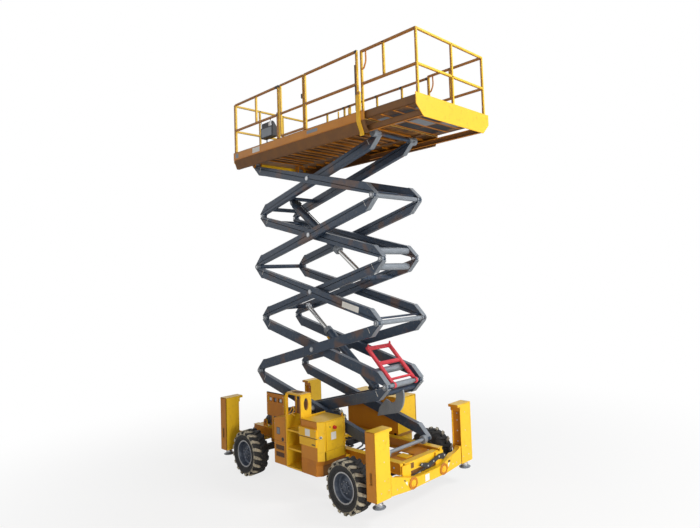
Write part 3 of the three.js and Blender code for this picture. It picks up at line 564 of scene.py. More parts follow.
def slate_paint():
    paint = Finish("slate_paint")
    clouds = paint.grain(0.22, 5, 0.62)
    streaks = paint.grain(0.05, 4, 0.7)
    orange_peel = paint.grain(0.004, 2, 0.5)
    tone = paint.blend(clouds, (0.020, 0.040, 0.076, 1), (0.050, 0.076, 0.122, 1))
    scuffs = streaks.over(0.60, 0.07) * 0.5
    tone = paint.blend(scuffs, tone, (0.125, 0.120, 0.120, 1))
    # Brown patches stand for reflections of the yellow parts on the slate: painted reflection.
    painted_reflection_patches = paint.grain(0.45, 3, 0.5).over(0.60, 0.06) * (streaks * 0.5 + 0.3)
    tone = paint.blend(painted_reflection_patches, tone, (0.17, 0.085, 0.042, 1))
    height = orange_peel * 0.3 + streaks * 0.7
    paint.coat(base_color=tone, metallic=0.1, roughness=clouds * 0.22 + 0.28, coat_weight=0.12,
               normal=paint.relief(height, 0.0008))
    return paint


def grey_paint():
    # On the arms' capping plates and cross tubes this light grey is partly their own lighter paint and partly
    # painted light, for the light that falls on them.
    paint = Finish("grey_paint")
    clouds = paint.grain(0.12, 5, 0.65)
    fine = paint.grain(0.012, 3, 0.6)
    tone = paint.blend(clouds, (0.165, 0.195, 0.235, 1), (0.29, 0.32, 0.36, 1))
    tone = paint.blend(fine.over(0.66, 0.05) * 0.7, tone, (0.42, 0.42, 0.41, 1))
    paint.coat(base_color=tone, metallic=0.15, roughness=clouds * 0.2 + 0.33,
               normal=paint.relief(fine, 0.0006))
    return paint


def bare_weld():
    bead = Finish("weld_bead")
    fine = bead.grain(0.006, 3, 0.6)
    tone = bead.blend(fine, (0.45, 0.44, 0.43, 1), (0.80, 0.78, 0.75, 1))
    bead.coat(base_color=tone, roughness=0.5, normal=bead.relief(fine, 0.001))
    return bead


def red_paint():
    paint = Finish("red_paint")
    clouds = paint.grain(0.15, 5, 0.65)
    fine = paint.grain(0.008, 3, 0.6)
    tone = paint.blend(clouds, (0.58, 0.030, 0.050, 1), (0.72, 0.075, 0.100, 1))
    tone = paint.blend(fine.over(0.66, 0.05) * 0.6, tone, (0.80, 0.25, 0.24, 1))
    paint.coat(base_color=tone, roughness=clouds * 0.25 + 0.35, normal=paint.relief(fine, 0.0006))
    return paint


def white_plate():
    plate = Finish("white_plate")
    clouds = plate.grain(0.03, 4, 0.6)
    tone = plate.blend(clouds, (0.74, 0.73, 0.70, 1), (0.92, 0.92, 0.90, 1))
    plate.coat(base_color=tone, roughness=clouds * 0.15 + 0.35, normal=plate.relief(clouds, 0.0003))
    return plate


SLATE = slate_paint()
WHITE = white_plate()
GREY = grey_paint()
WELD = bare_weld()
RED = red_paint()


def arc(centre, radius, start, stop, steps):
    """Points on an arc between two angles in degrees."""
    turns = [math.radians(start + (stop - start) * i / steps) for i in range(steps + 1)]
    return [(centre[0] + radius * math.cos(t), centre[1] + radius * math.sin(t)) for t in turns]


def far_end(points):
    """The same outline, turned end for end."""
    return [(SPAN - s, -n) for s, n in points]


def beam_edge(s, upper):
    """Height of a beam's upper or lower edge above the line of its pins."""
    middle = BEAM_OFFSET - 2 * BEAM_OFFSET * s / SPAN
    return middle + (BEAM_DEPTH / 2 if upper else -BEAM_DEPTH / 2)


BEAM_TIP = [(-0.036, 0.052), (BEAM_CORNER, beam_edge(BEAM_CORNER, True))]
BEAM_END = arc((0, 0), LUG_ROOM, 8, 129, 10) + BEAM_TIP
LUG = arc((0, 0), LUG_RADIUS, 150, 352, 18) + [(0.12, 0.02), (0.12, 0.10), (0.0, 0.060)]


def arm_place(stage, inner):
    """Axes of an arm: X from its bottom pin to its top pin, Z up across its depth."""
    forward = inner == (stage % 2 == 1)
    way = 1 if forward else -1
    along = Vector((way * math.cos(LEAN), 0, math.sin(LEAN)))
    across = Vector((0, way, 0))
    bottom = REAR_PIN if forward else Vector((FRONT_PIN.x, 0, REAR_PIN.z))
    turn = Matrix((along, across, along.cross(across))).transposed().to_4x4()
    return Matrix.Translation(bottom + Vector((0, 0, STAGE_RISE * (stage - 1)))) @ turn


def holds_pin(stage, inner, top):
    """Whether this end of an arm carries the pin, on the lug nearer the machine's middle."""
    if inner:
        return not top or stage == STAGES
    even = stage % 2 == 0
    return even or (stage == 1 and not top)


def add_beam(piece, lane, stage, inner, hand):
    """One arm: its box section, capping plates, lugs and pin heads."""
    near, far = lane
    middle = (near + far) / 2
    width = far - near

    def across(low, high):
        ends = sorted((hand * (middle + low), hand * (middle + high)))
        return ends[0], ends[1]

    half = width / 2
    piece.plate(BEAM_END + far_end(BEAM_END), 1, across(-half, half), SLATE, 0.006)
    for turned in (lambda points: points, far_end):
        top = turned is far_end
        # The capping plates are light grey: partly their own paint, partly painted light on these
        # forward-facing ends.
        cap = [(-0.0365, 0.046), (-0.0425, 0.046), (-0.0425, 0.056), (BEAM_CORNER - 0.004, 0.1795),
               (BEAM_CORNER + 0.035, 0.1785), (BEAM_CORNER + 0.035, 0.171), (BEAM_CORNER, 0.1735),
               (-0.0365, 0.0515)]
        piece.plate(turned(cap), 1, across(-half - 0.003, half + 0.003), GREY, 0.0015)
        keeper = holds_pin(stage, inner, top)
        full = (stage == STAGES and top) or (stage == 1 and not top)
        lug = (0.002, half - 0.001) if not keeper else (-half + 0.001, -0.002)
        if full:
            lug = (-half + 0.001, half - 0.001)
        tone = SLATE if not top else GREY
        piece.plate(turned(LUG), 1, across(*lug), tone, 0.003)
        pin = 0 if not top else SPAN
        if keeper:
            ends = across(-half - 0.010, half + 0.012)
            piece.rod((pin, ends[0], 0), (pin, ends[1], 0), PIN_RADIUS, STEEL, 20)
        for side in (-1, 1):
            face = across(side * half, side * half)[0]
            out = hand * side
            if not inner and side > 0 and keeper:
                piece.ring((pin, face + out * 0.0125, 0), (0, 1, 0), PIN_RADIUS, 0.050, 0.021, GREY, 28,
                           0.003)
                piece.rod((pin, face, 0), (pin, face + out * 0.023, 0), 0.030, STEEL, 24)
                bolt = (pin + 0.012, face + out * 0.022, 0.0)
                piece.rod(bolt, (bolt[0], bolt[1] + out * 0.003, 0.0), 0.007, STEEL, 6)
        seam_s = SPAN - 0.215 if top else 0.215
        face = across(half, half)[0]
        tone = WELD if top else SLATE
        piece.pipe([(seam_s - 0.012, face + hand * 0.0005, beam_edge(seam_s - 0.012, True) - 0.020),
                    (seam_s + 0.010, face + hand * 0.0005, beam_edge(seam_s + 0.010, False) + 0.060)],
                   0.0042, tone, sides=6)
    if not inner:
        face = across(half, half)[0]
        piece.ring((SPAN / 2, face + hand * 0.006, 0), (0, 1, 0), 0.0, 0.050, 0.012, GREY, 28)
        piece.rod((SPAN / 2, face, 0), (SPAN / 2, face + hand * 0.015, 0), 0.036, STEEL, 28)


def clevis(piece, start, end, middle, gap, pinned):
    """Two cheeks from a cross tube out to a cylinder's eye."""
    start, end = Vector(start), Vector(end)
    reach = end - start
    angle = math.degrees(math.atan2(reach.y, reach.x))
    outline = arc(start, 0.046, angle + 90, angle + 270, 10) + arc(end, 0.040, angle - 90, angle + 90, 10)
    for side in (-1, 1):
        inside = middle + side * gap
        span = sorted((inside, inside + side * 0.014))
        piece.plate(outline, 1, span, SLATE, 0.002)
        if pinned:
            piece.rod((end.x, inside, end.y), (end.x, inside + side * 0.022, end.y), 0.034, STEEL, 20)
    if pinned:
        piece.rod((end.x, middle - gap - 0.01, end.y), (end.x, middle + gap + 0.01, end.y), 0.024, STEEL, 20)


CYLINDER_LINE = 0.150
NEAR_EYE = 0.7155
FAR_EYE = 2.790
TIED = {True: INNER_LANE[0] + 0.002, False: OUTER_LANE[0] + 0.002}


def cross_tube(piece, inner, s, n, radius, finish):
    reach = TIED[inner]
    piece.rod((s, -reach, n), (s, reach, n), radius, finish, 32)
    for side in (-1, 1):
        piece.ring((s, side * (reach - 0.004), n), (0, 1, 0), radius, radius + 0.007, 0.008, SLATE, 32, 0.003)


def tube_line(s):
    return BEAM_OFFSET - 2 * BEAM_OFFSET * s / SPAN


def stop_plate(piece):
    """The heavy hook under the first inner pair, cut from thick plate."""
    outline = [(2.798, -0.419), (3.305, -0.452)]
    for i in range(1, 13):
        t = i / 12
        a = (1 - t) ** 2
        b = 2 * t * (1 - t)
        outline.append((3.305 * a + 3.500 * b + 3.555 * t * t, -0.452 * a - 0.400 * b - 0.172 * t * t))
    outline += [(3.555, -0.110), (3.376, -0.110)]
    outline += arc((3.250, -0.150), 0.118, 0, -125, 12)
    outline += [(3.112, -0.181), (2.899, -0.284)]
    piece.plate(outline, 1, (-0.016, 0.016), GREY, 0.003)


def add_inner_ties(piece, stage):
    if stage == 1:
        cross_tube(piece, True, 3.470, tube_line(3.470), 0.043, SLATE)
        cross_tube(piece, True, FAR_EYE, -0.100, 0.037, SLATE)
        clevis(piece, (FAR_EYE, -0.100), (FAR_EYE, 0), CYLINDER_LINE, 0.033, True)
        stop_plate(piece)
    elif stage == 2:
        cross_tube(piece, True, 0.400, tube_line(0.400), 0.058, GREY)
        cross_tube(piece, True, 0, 0, 0.0305, GREY)
        piece.rod((0, -0.198, 0), (0, 0.258, 0), 0.046, GREY, 32)
    elif stage == 3:
        cross_tube(piece, True, 3.434, tube_line(3.434), 0.058, GREY)
        cross_tube(piece, True, 0.450, tube_line(0.450), 0.046, SLATE)
        clevis(piece, (0.450, tube_line(0.450)), (NEAR_EYE, 0), CYLINDER_LINE, 0.085, False)
        cross_tube(piece, True, 2.980, -0.125, 0.039, SLATE)
        clevis(piece, (2.980, -0.125), (FAR_EYE, 0), -CYLINDER_LINE, 0.085, False)
    elif stage == 4:
        cross_tube(piece, True, 0.170, tube_line(0.170), 0.058, GREY)
        cross_tube(piece, True, 3.434, tube_line(3.434), 0.041, SLATE)
    else:
        cross_tube(piece, True, 0.170, tube_line(0.170), 0.041, SLATE)
        cross_tube(piece, True, NEAR_EYE, 0.100, 0.037, SLATE)
        clevis(piece, (NEAR_EYE, 0.100), (NEAR_EYE, 0), -CYLINDER_LINE, 0.033, True)
        cross_tube(piece, True, SPAN, 0, 0.0305, SLATE)


def add_outer_ties(piece, stage):
    if stage == 1:
        cross_tube(piece, False, 0, 0, 0.0305, GREY)
    elif stage % 2 == 0:
        cross_tube(piece, False, SPAN, 0, 0.041, GREY)
        if stage == 4:
            cross_tube(piece, False, 0, 0, 0.041, SLATE)
    else:
        reach = TIED[False]
        piece.block((0.056, -reach, 0.036), (0.096, reach, 0.062), SLATE, 0.004)


def add_label(piece, hand):
    """A blank label stuck along the outer face of an arm."""
    face = hand * (OUTER_LANE[1] + 0.0006)
    at = 0.675
    lean = math.atan2(-2 * BEAM_OFFSET, SPAN)
    middle = tube_line(at) + 0.002
    rim = [(-0.215, -0.050), (0.215, -0.050), (0.215, 0.050), (-0.215, 0.050)]
    outline = [(at + s * math.cos(lean) - n * math.sin(lean),
                middle + s * math.sin(lean) + n * math.cos(lean))
               for s, n in rim]
    piece.plate(outline, 1, tuple(sorted((face - hand * 0.002, face))), WHITE, 0.0)


def add_rollers(piece, pin, low, high):
    for side in (-1, 1):
        ends = sorted((side * low, side * high))
        profile = [(0.012, 0), (0.064, 0), (0.0705, 0.006), (0.0705, ends[1] - ends[0] - 0.006),
                   (0.064, ends[1] - ends[0]), (0.012, ends[1] - ends[0]), (0.012, 0)]
        piece.turned(profile, (pin, ends[0], 0), (0, 1, 0), GREY, 36)


def add_arm_pair(stage, inner):
    name = f"{'inner' if inner else 'outer'}_arms_{stage}"
    piece = Weldment(arm_place(stage, inner))
    lane = INNER_LANE if inner else OUTER_LANE
    for hand in (-1, 1):
        add_beam(piece, lane, stage, inner, hand)
    if inner:
        add_inner_ties(piece, stage)
    else:
        add_outer_ties(piece, stage)
    if stage == 3 and not inner:
        add_label(piece, -1 if arm_place(stage, inner).col[1].y > 0 else 1)
    if stage == 1 and not inner:
        add_rollers(piece, 0, 0.408, 0.486)
    if stage == STAGES and inner:
        add_rollers(piece, SPAN, 0.443, 0.520)
    piece.made(name + "_welded", name, "slate_paint", name)


for stage in range(1, STAGES + 1):
    for inner in (True, False):
        add_arm_pair(stage, inner)


# Lift cylinders ----------------------------------------------------------------------------------
# Single-acting hydraulic cylinders: a painted seamless barrel with a screwed gland, and a hard-
# chromed rod with a forged eye. A black line is clipped along the barrel, from the valve block at
# its foot to a small yellow block near the gland.
def hard_chrome():
    chrome = Finish("hard_chrome")
    film = chrome.grain(0.06, 4, 0.6)
    tone = chrome.blend(film, (0.66, 0.66, 0.65, 1), (0.84, 0.83, 0.80, 1))
    fine = chrome.grain(0.002, 2, 0.6)
    chrome.coat(base_color=tone, metallic=1.0, roughness=film * 0.10 + 0.10,
                normal=chrome.relief(fine, 0.0002))
    return chrome


def black_hose():
    hose = Finish("black_hose")
    weave = hose.grain(0.004, 2, 0.5)
    clouds = hose.grain(0.05, 4, 0.6)
    tone = hose.blend(clouds, (0.010, 0.011, 0.013, 1), (0.035, 0.036, 0.040, 1))
    hose.coat(base_color=tone, roughness=clouds * 0.25 + 0.4, normal=hose.relief(weave, 0.0006))
    return hose


def fresh_yellow_paint():
    paint = Finish("fresh_yellow")
    clouds = paint.grain(0.10, 5, 0.6)
    fine = paint.grain(0.008, 3, 0.6)
    tone = paint.blend(clouds, (0.85, 0.44, 0.008, 1), (0.92, 0.56, 0.015, 1))
    tone = paint.blend(fine.over(0.67, 0.05) * clouds, tone, (0.45, 0.18, 0.02, 1))
    paint.coat(base_color=tone, roughness=clouds * 0.3 + 0.26, coat_weight=0.1,
               normal=paint.relief(fine, 0.0006))
    return paint


CHROME = hard_chrome()
FRESH = fresh_yellow_paint()
HOSE = black_hose()
BARREL_LENGTH = 1.740
BARREL_RADIUS = 0.075
ROD_RADIUS = 0.042
ROD_LENGTH = 1.825


def add_cylinder(name, foot, eye, side):
    foot = Vector((foot.x, side, foot.z))
    eye = Vector((eye.x, side, eye.z))
    along = (eye - foot).normalized()
    across = Vector((0, 1, 0))
    turn = Matrix((along, across, along.cross(across))).transposed().to_4x4()
    reach = (eye - foot).length

    barrel = Weldment(Matrix.Translation(foot) @ turn)
    barrel.ring((0, 0, 0), (0, 1, 0), 0.0265, 0.056, 0.062, SLATE, 36, 0.004)
    barrel.turned([(0, 0.046), (0.045, 0.046), (0.066, 0.060), (BARREL_RADIUS, 0.080),
                   (BARREL_RADIUS, BARREL_LENGTH - 0.10), (ROD_RADIUS + 0.006, BARREL_LENGTH - 0.10),
                   (ROD_RADIUS + 0.006, 0.1), (0, 0.1), (0, 0.046)], (0, 0, 0), (1, 0, 0), SLATE, 40)
    barrel.turned([(ROD_RADIUS + 0.005, BARREL_LENGTH - 0.100), (0.081, BARREL_LENGTH - 0.100),
                   (0.084, BARREL_LENGTH - 0.094), (0.084, BARREL_LENGTH - 0.012), (0.078, BARREL_LENGTH),
                   (ROD_RADIUS + 0.005, BARREL_LENGTH), (ROD_RADIUS + 0.005, BARREL_LENGTH - 0.100)],
                  (0, 0, 0), (1, 0, 0), GREY, 40)
    barrel.block((0.08, -0.045, 0.062), (0.20, 0.045, 0.120), HOSE, 0.004)
    barrel.rod((0.14, 0, 0.11), (0.14, 0, 0.150), 0.016, STEEL, 12)
    barrel.pipe([(0.20, 0.02, 0.094), (0.32, 0.02, 0.094), (BARREL_LENGTH - 0.14, 0.02, 0.094),
                 (BARREL_LENGTH - 0.06, 0.02, 0.082)], 0.009, HOSE, 0.04, 10)
    barrel.block((BARREL_LENGTH - 0.27, -0.050, 0.068), (BARREL_LENGTH - 0.13, 0.004, 0.112), FRESH, 0.004)
    for share in (0.3, 0.6, 0.88):
        at = BARREL_LENGTH * share
        barrel.block((at - 0.012, 0.004, 0.066), (at + 0.012, 0.036, 0.106), STEEL, 0.002)
    barrel.made(f"{name}_cylinder_tube", f"{name}_barrel", "slate_paint", f"{name}_cylinder_barrel")

    rod = Weldment(Matrix.Translation(foot) @ turn)
    rod.rod((reach - ROD_LENGTH, 0, 0), (reach - 0.035, 0, 0), ROD_RADIUS, CHROME, 36)
    rod.ring((reach, 0, 0), (0, 1, 0), 0.0, 0.052, 0.064, STEEL, 36, 0.005)
    rod.rod((reach, -0.072, 0), (reach, 0.072, 0), 0.024, STEEL, 24)
    rod.turned([(0, reach - 0.085), (0.048, reach - 0.085), (0.048, reach - 0.050), (0.034, reach - 0.040),
                (0, reach - 0.040)], (0, 0, 0), (1, 0, 0), STEEL, 32)
    rod.made(f"{name}_cylinder_piston_rod", f"{name}_rod", "chrome", f"{name}_cylinder_rod")


def on_arm(stage, s):
    return arm_place(stage, True) @ Vector((s, 0, 0))


add_cylinder("lower", on_arm(1, FAR_EYE), on_arm(3, NEAR_EYE), CYLINDER_LINE)
add_cylinder("upper", on_arm(5, NEAR_EYE), on_arm(3, FAR_EYE), -CYLINDER_LINE)


# Safety prop -------------------------------------------------------------------------------------
# A ladder-shaped frame welded from rectangular tube, painted red. It hangs on the grey tube at the
# first front knuckle and swings up to hold the stack open; horns at its top steady the tube.
PROP_REACH = 0.850
PROP_RAILS = (-0.230, 0.290)


def add_prop():
    lean = math.radians(180 - 43)
    along = Vector((math.cos(lean), 0, math.sin(lean)))
    across = Vector((0, 1, 0))
    turn = Matrix((along, across, along.cross(across))).transposed().to_4x4()
    prop = Weldment(Matrix.Translation(Vector(JOINTS["safety_prop_hinge"]["pos_m"])) @ turn)
    for side in PROP_RAILS:
        prop.block((0.040, side - 0.034, -0.024), (PROP_REACH, side + 0.034, 0.024), RED, 0.008)
        prop.ring((0, side, 0), (0, 1, 0), 0.034, 0.052, 0.044, RED, 32, 0.004)
        horn = [(PROP_REACH - 0.060, 0.0), (PROP_REACH, 0.0), (PROP_REACH + 0.020, -0.062),
                (PROP_REACH - 0.015, -0.058)]
        prop.plate(horn, 1, (side - 0.010, side + 0.010), RED, 0.003)
    for s, half in ((0.120, 0.016), (0.470, 0.032), (PROP_REACH - 0.034, 0.034)):
        prop.block((s - half, PROP_RAILS[0] + 0.01, -0.020), (s + half, PROP_RAILS[1] - 0.01, 0.020), RED,
                   0.005)
        for side, way in zip(PROP_RAILS, (1, -1)):
            at = side + way * 0.035
            for face in (-0.019, 0.019):
                prop.pipe([(s - half, at, face), (s + half, at, face)], 0.004, RED, sides=6)
    prop.made("safety_prop_frame", "prop", "red_paint", "safety_prop")


add_prop()


# Axles and knuckles ------------------------------------------------------------------------------
# Cast drive axles in black paint: a box beam with a round differential housing and a drive nose,
# hubs at its ends, and on the front axle forged steering knuckles on kingpins.
def black_iron():
    iron = Finish("black_iron")
    clouds = iron.grain(0.06, 5, 0.65)
    fine = iron.grain(0.008, 3, 0.65)
    tone = iron.blend(clouds, (0.012, 0.013, 0.015, 1), (0.060, 0.058, 0.056, 1))
    tone = iron.blend(fine.over(0.62, 0.08) * 0.6, tone, (0.16, 0.13, 0.10, 1))
    iron.coat(base_color=tone, metallic=0.2, roughness=clouds * 0.3 + 0.5, normal=iron.relief(fine, 0.0015))
    return iron


IRON = black_iron()


def add_axle(name, steered):
    low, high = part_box(name)
    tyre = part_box(name.replace("_axle", "_right_tyre"))
    x = (tyre[0].x + tyre[1].x) / 2
    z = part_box("front_right_tyre")[1].z / 2
    inward = -1 if steered else 1
    axle = Weldment(Matrix.Translation((x, 0, z)))
    reach = min(-low.y, high.y, 0.64 if steered else 0.72)
    taper = [(-reach, -0.045), (-0.20, -0.075), (0.20, -0.075), (reach, -0.045), (reach, 0.045),
             (0.20, 0.065),
             (-0.20, 0.065), (-reach, 0.045)]
    axle.plate(taper, 0, (-0.060, 0.060), IRON, 0.012)
    axle.turned([(0, -0.15), (0.075, -0.15), (0.118, -0.10), (0.124, -0.02), (0.124, 0.02), (0.118, 0.10),
                 (0.075, 0.15), (0, 0.15)], (0, 0, 0), (0, 1, 0), IRON, 36)
    axle.turned([(0, 0.06), (0.085, 0.06), (0.070, 0.15), (0.055, 0.20), (0.052, 0.25), (0, 0.25)],
                (0, 0, 0), (inward, 0, 0), IRON, 32)
    for i in range(8):
        turn = math.pi * i / 4
        bolt = Vector((inward * 0.058, 0.098 * math.cos(turn), 0.098 * math.sin(turn)))
        axle.rod(bolt, bolt + Vector((inward * 0.022, 0, 0)), 0.009, STEEL, 6)
    for hand in (-1, 1):
        if steered:
            fork = [(0.60 * hand, -0.12), (0.775 * hand, -0.12), (0.775 * hand, -0.098),
                    (0.655 * hand, -0.095),
                    (0.645 * hand, -0.05), (0.645 * hand, 0.06), (0.655 * hand, 0.096), (0.775 * hand, 0.098),
                    (0.775 * hand, 0.12), (0.60 * hand, 0.12)]
            axle.plate(fork, 0, (-0.050, 0.050), IRON, 0.006)
            axle.rod((0, hand * 0.73, 0.118), (0, hand * 0.73, 0.134), 0.030, STEEL, 24)
        else:
            hub = [(0, 0.69), (0.105, 0.69), (0.108, 0.78), (0.085, 0.80), (0.062, 0.81), (0.062, 0.982),
                   (0, 0.982)]
            axle.turned(hub, (0, 0, 0), (0, hand, 0), IRON, 36)
    axle.made(name + "_casting", "chassis", "cast_iron", name)


def add_knuckle(side):
    name = f"front_{side}_knuckle"
    hand = 1 if side == "left" else -1
    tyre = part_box(f"front_{side}_tyre")
    x = (tyre[0].x + tyre[1].x) / 2
    z = tyre[1].z / 2
    y = abs(JOINTS[f"front_{side}_steering"]["pos_m"][1])
    knuckle = Weldment(Matrix.Translation((x, hand * y, z)))
    knuckle.rod((0, 0, -0.088), (0, 0, 0.088), 0.041, IRON, 28, 0.005)
    hub = [(0, 0.01), (0.075, 0.01), (0.095, 0.03), (0.095, 0.07), (0.062, 0.085), (0.062, 0.25), (0, 0.25)]
    knuckle.turned(hub, (0, 0, 0), (0, hand, 0), IRON, 36)
    knuckle.made(name + "_forging", f"front_{side}_steer", "cast_iron", name)


add_axle("rear_axle", False)
add_axle("front_axle", True)
add_knuckle("left")
add_knuckle("right")


# Chassis frame -----------------------------------------------------------------------------------
# Two deep box rails and their cross members, welded and painted yellow. The lowest scissor pins
# turn in ears at the rear; at the front the arms' rollers run on top of the rails.
def painted_light_by_facing(finish):
    """1 on faces turned forwards or up and 0 on faces turned back, down or sideways: the mask for painted
    light and painted shade.
    """
    turned = finish.node("ShaderNodeTexCoord", output="Normal")
    forwards = finish.node("ShaderNodeSeparateXYZ", inputs={0: turned}, output=0)
    upwards = finish.node("ShaderNodeSeparateXYZ", inputs={0: turned}, output=2)
    return (forwards + upwards * 0.6).over(0.38, 0.26)


def yellow_paint():
    paint = Finish("yellow_paint")
    clouds = paint.grain(0.35, 5, 0.6)
    grime = paint.grain(0.09, 6, 0.72)
    fine = paint.grain(0.007, 3, 0.6)
    # Painted shade, deep orange, on faces turned back, down or sideways, and painted light, pale yellow, on
    # faces turned forwards or up.
    painted_shade_tone = paint.blend(clouds, (0.52, 0.175, 0.006, 1), (0.70, 0.285, 0.012, 1))
    painted_light_tone = paint.blend(clouds, (0.86, 0.505, 0.013, 1), (0.92, 0.58, 0.020, 1))
    tone = paint.blend(painted_light_by_facing(paint), painted_shade_tone, painted_light_tone)
    tone = paint.blend(grime.over(0.63, 0.10) * 0.4, tone, (0.44, 0.19, 0.02, 1))
    chips = fine.over(0.70, 0.03) * grime.over(0.52, 0.08)
    tone = paint.blend(chips * 0.45, tone, (0.20, 0.11, 0.05, 1))
    height = fine * 0.5 + grime * 0.5
    paint.coat(base_color=tone, roughness=grime * 0.30 + 0.26, coat_weight=0.10,
               normal=paint.relief(height, 0.0007))
    return paint


def painted_shade_orange():
    # The yellow paint's shaded tone, deep orange whichever way a face turns, for yellow parts that stand in
    # shade: painted shade. The darker specks are dirt.
    paint = Finish("painted_shade_orange")
    clouds = paint.grain(0.20, 5, 0.6)
    fine = paint.grain(0.008, 3, 0.6)
    tone = paint.blend(clouds, (0.42, 0.13, 0.006, 1), (0.64, 0.24, 0.010, 1))
    tone = paint.blend(fine.over(0.66, 0.05) * clouds, tone, (0.26, 0.11, 0.02, 1))
    paint.coat(base_color=tone, roughness=clouds * 0.3 + 0.3, normal=paint.relief(fine, 0.0007))
    return paint


def rail_paint():
    """Yellow on smooth tube, with painted shade, brown, where it faces the ground or the machine's sides, and
    painted light, bright, elsewhere.
    """
    paint = Finish("rail_paint")
    clouds = paint.grain(0.30, 3, 0.5)
    fine = paint.grain(0.010, 2, 0.5)
    painted_shade_tone = paint.blend(clouds, (0.30, 0.115, 0.016, 1), (0.46, 0.185, 0.020, 1))
    painted_light_rail_tone = paint.blend(clouds, (0.84, 0.52, 0.016, 1), (0.92, 0.62, 0.030, 1))
    paint.coat(base_color=paint.blend(painted_light_by_facing(paint), painted_shade_tone, painted_light_rail_tone), roughness=clouds * 0.2 + 0.30,
               coat_weight=0.1,
               normal=paint.relief(fine, 0.0003))
    return paint


def brown_shadow_paint():
    # A dark brown for recesses, inner walls and undersides of yellow parts that stand in shadow: painted
    # shade.
    paint = Finish("painted_shadow_brown")
    clouds = paint.grain(0.15, 5, 0.65)
    fine = paint.grain(0.010, 3, 0.6)
    tone = paint.blend(clouds, (0.10, 0.045, 0.016, 1), (0.26, 0.115, 0.030, 1))
    paint.coat(base_color=tone, roughness=clouds * 0.3 + 0.45, normal=paint.relief(fine, 0.001))
    return paint


def black_plastic():
    plastic = Finish("black_plastic")
    clouds = plastic.grain(0.05, 4, 0.6)
    stipple = plastic.grain(0.0025, 2, 0.6)
    tone = plastic.blend(clouds, (0.012, 0.013, 0.016, 1), (0.045, 0.048, 0.055, 1))
    plastic.coat(base_color=tone, roughness=clouds * 0.2 + 0.42, normal=plastic.relief(stipple, 0.0005))
    return plastic


def red_plastic():
    plastic = Finish("red_plastic")
    clouds = plastic.grain(0.02, 4, 0.6)
    tone = plastic.blend(clouds, (0.50, 0.012, 0.010, 1), (0.70, 0.030, 0.022, 1))
    plastic.coat(base_color=tone, roughness=clouds * 0.2 + 0.22, normal=plastic.relief(clouds, 0.0003))
    return plastic


YELLOW = yellow_paint()
PAINTED_SHADE_ORANGE = painted_shade_orange()
RAIL_YELLOW = rail_paint()
PAINTED_SHADOW_BROWN = brown_shadow_paint()
PLASTIC = black_plastic()
RED_KNOB = red_plastic()


def bolts(piece, places, axis, radius, finish=None, height=0.008):
    """Hexagon bolt heads on washers."""
    axis = Vector(axis)
    for place in places:
        at = Vector(place)
        piece.rod(at, at + axis * 0.0025, radius * 1.7, finish or STEEL, 16, 0.0008)
        piece.rod(at, at + axis * height, radius, finish or STEEL, 6, 0.001)


frame_low, frame_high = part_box("chassis_frame")
TRACK = (0.400, 0.520)
RAIL_BOTTOM, RAIL_CROWN = 0.565, 0.747
EAR_X = JOINTS["lift"]["pos_m"][0]
PIN_Z = JOINTS["lift"]["pos_m"][2]


def mirrored(hand, near, far):
    """A span across the machine, on the left for hand 1 and on the right for hand -1."""
    return tuple(sorted((hand * near, hand * far)))


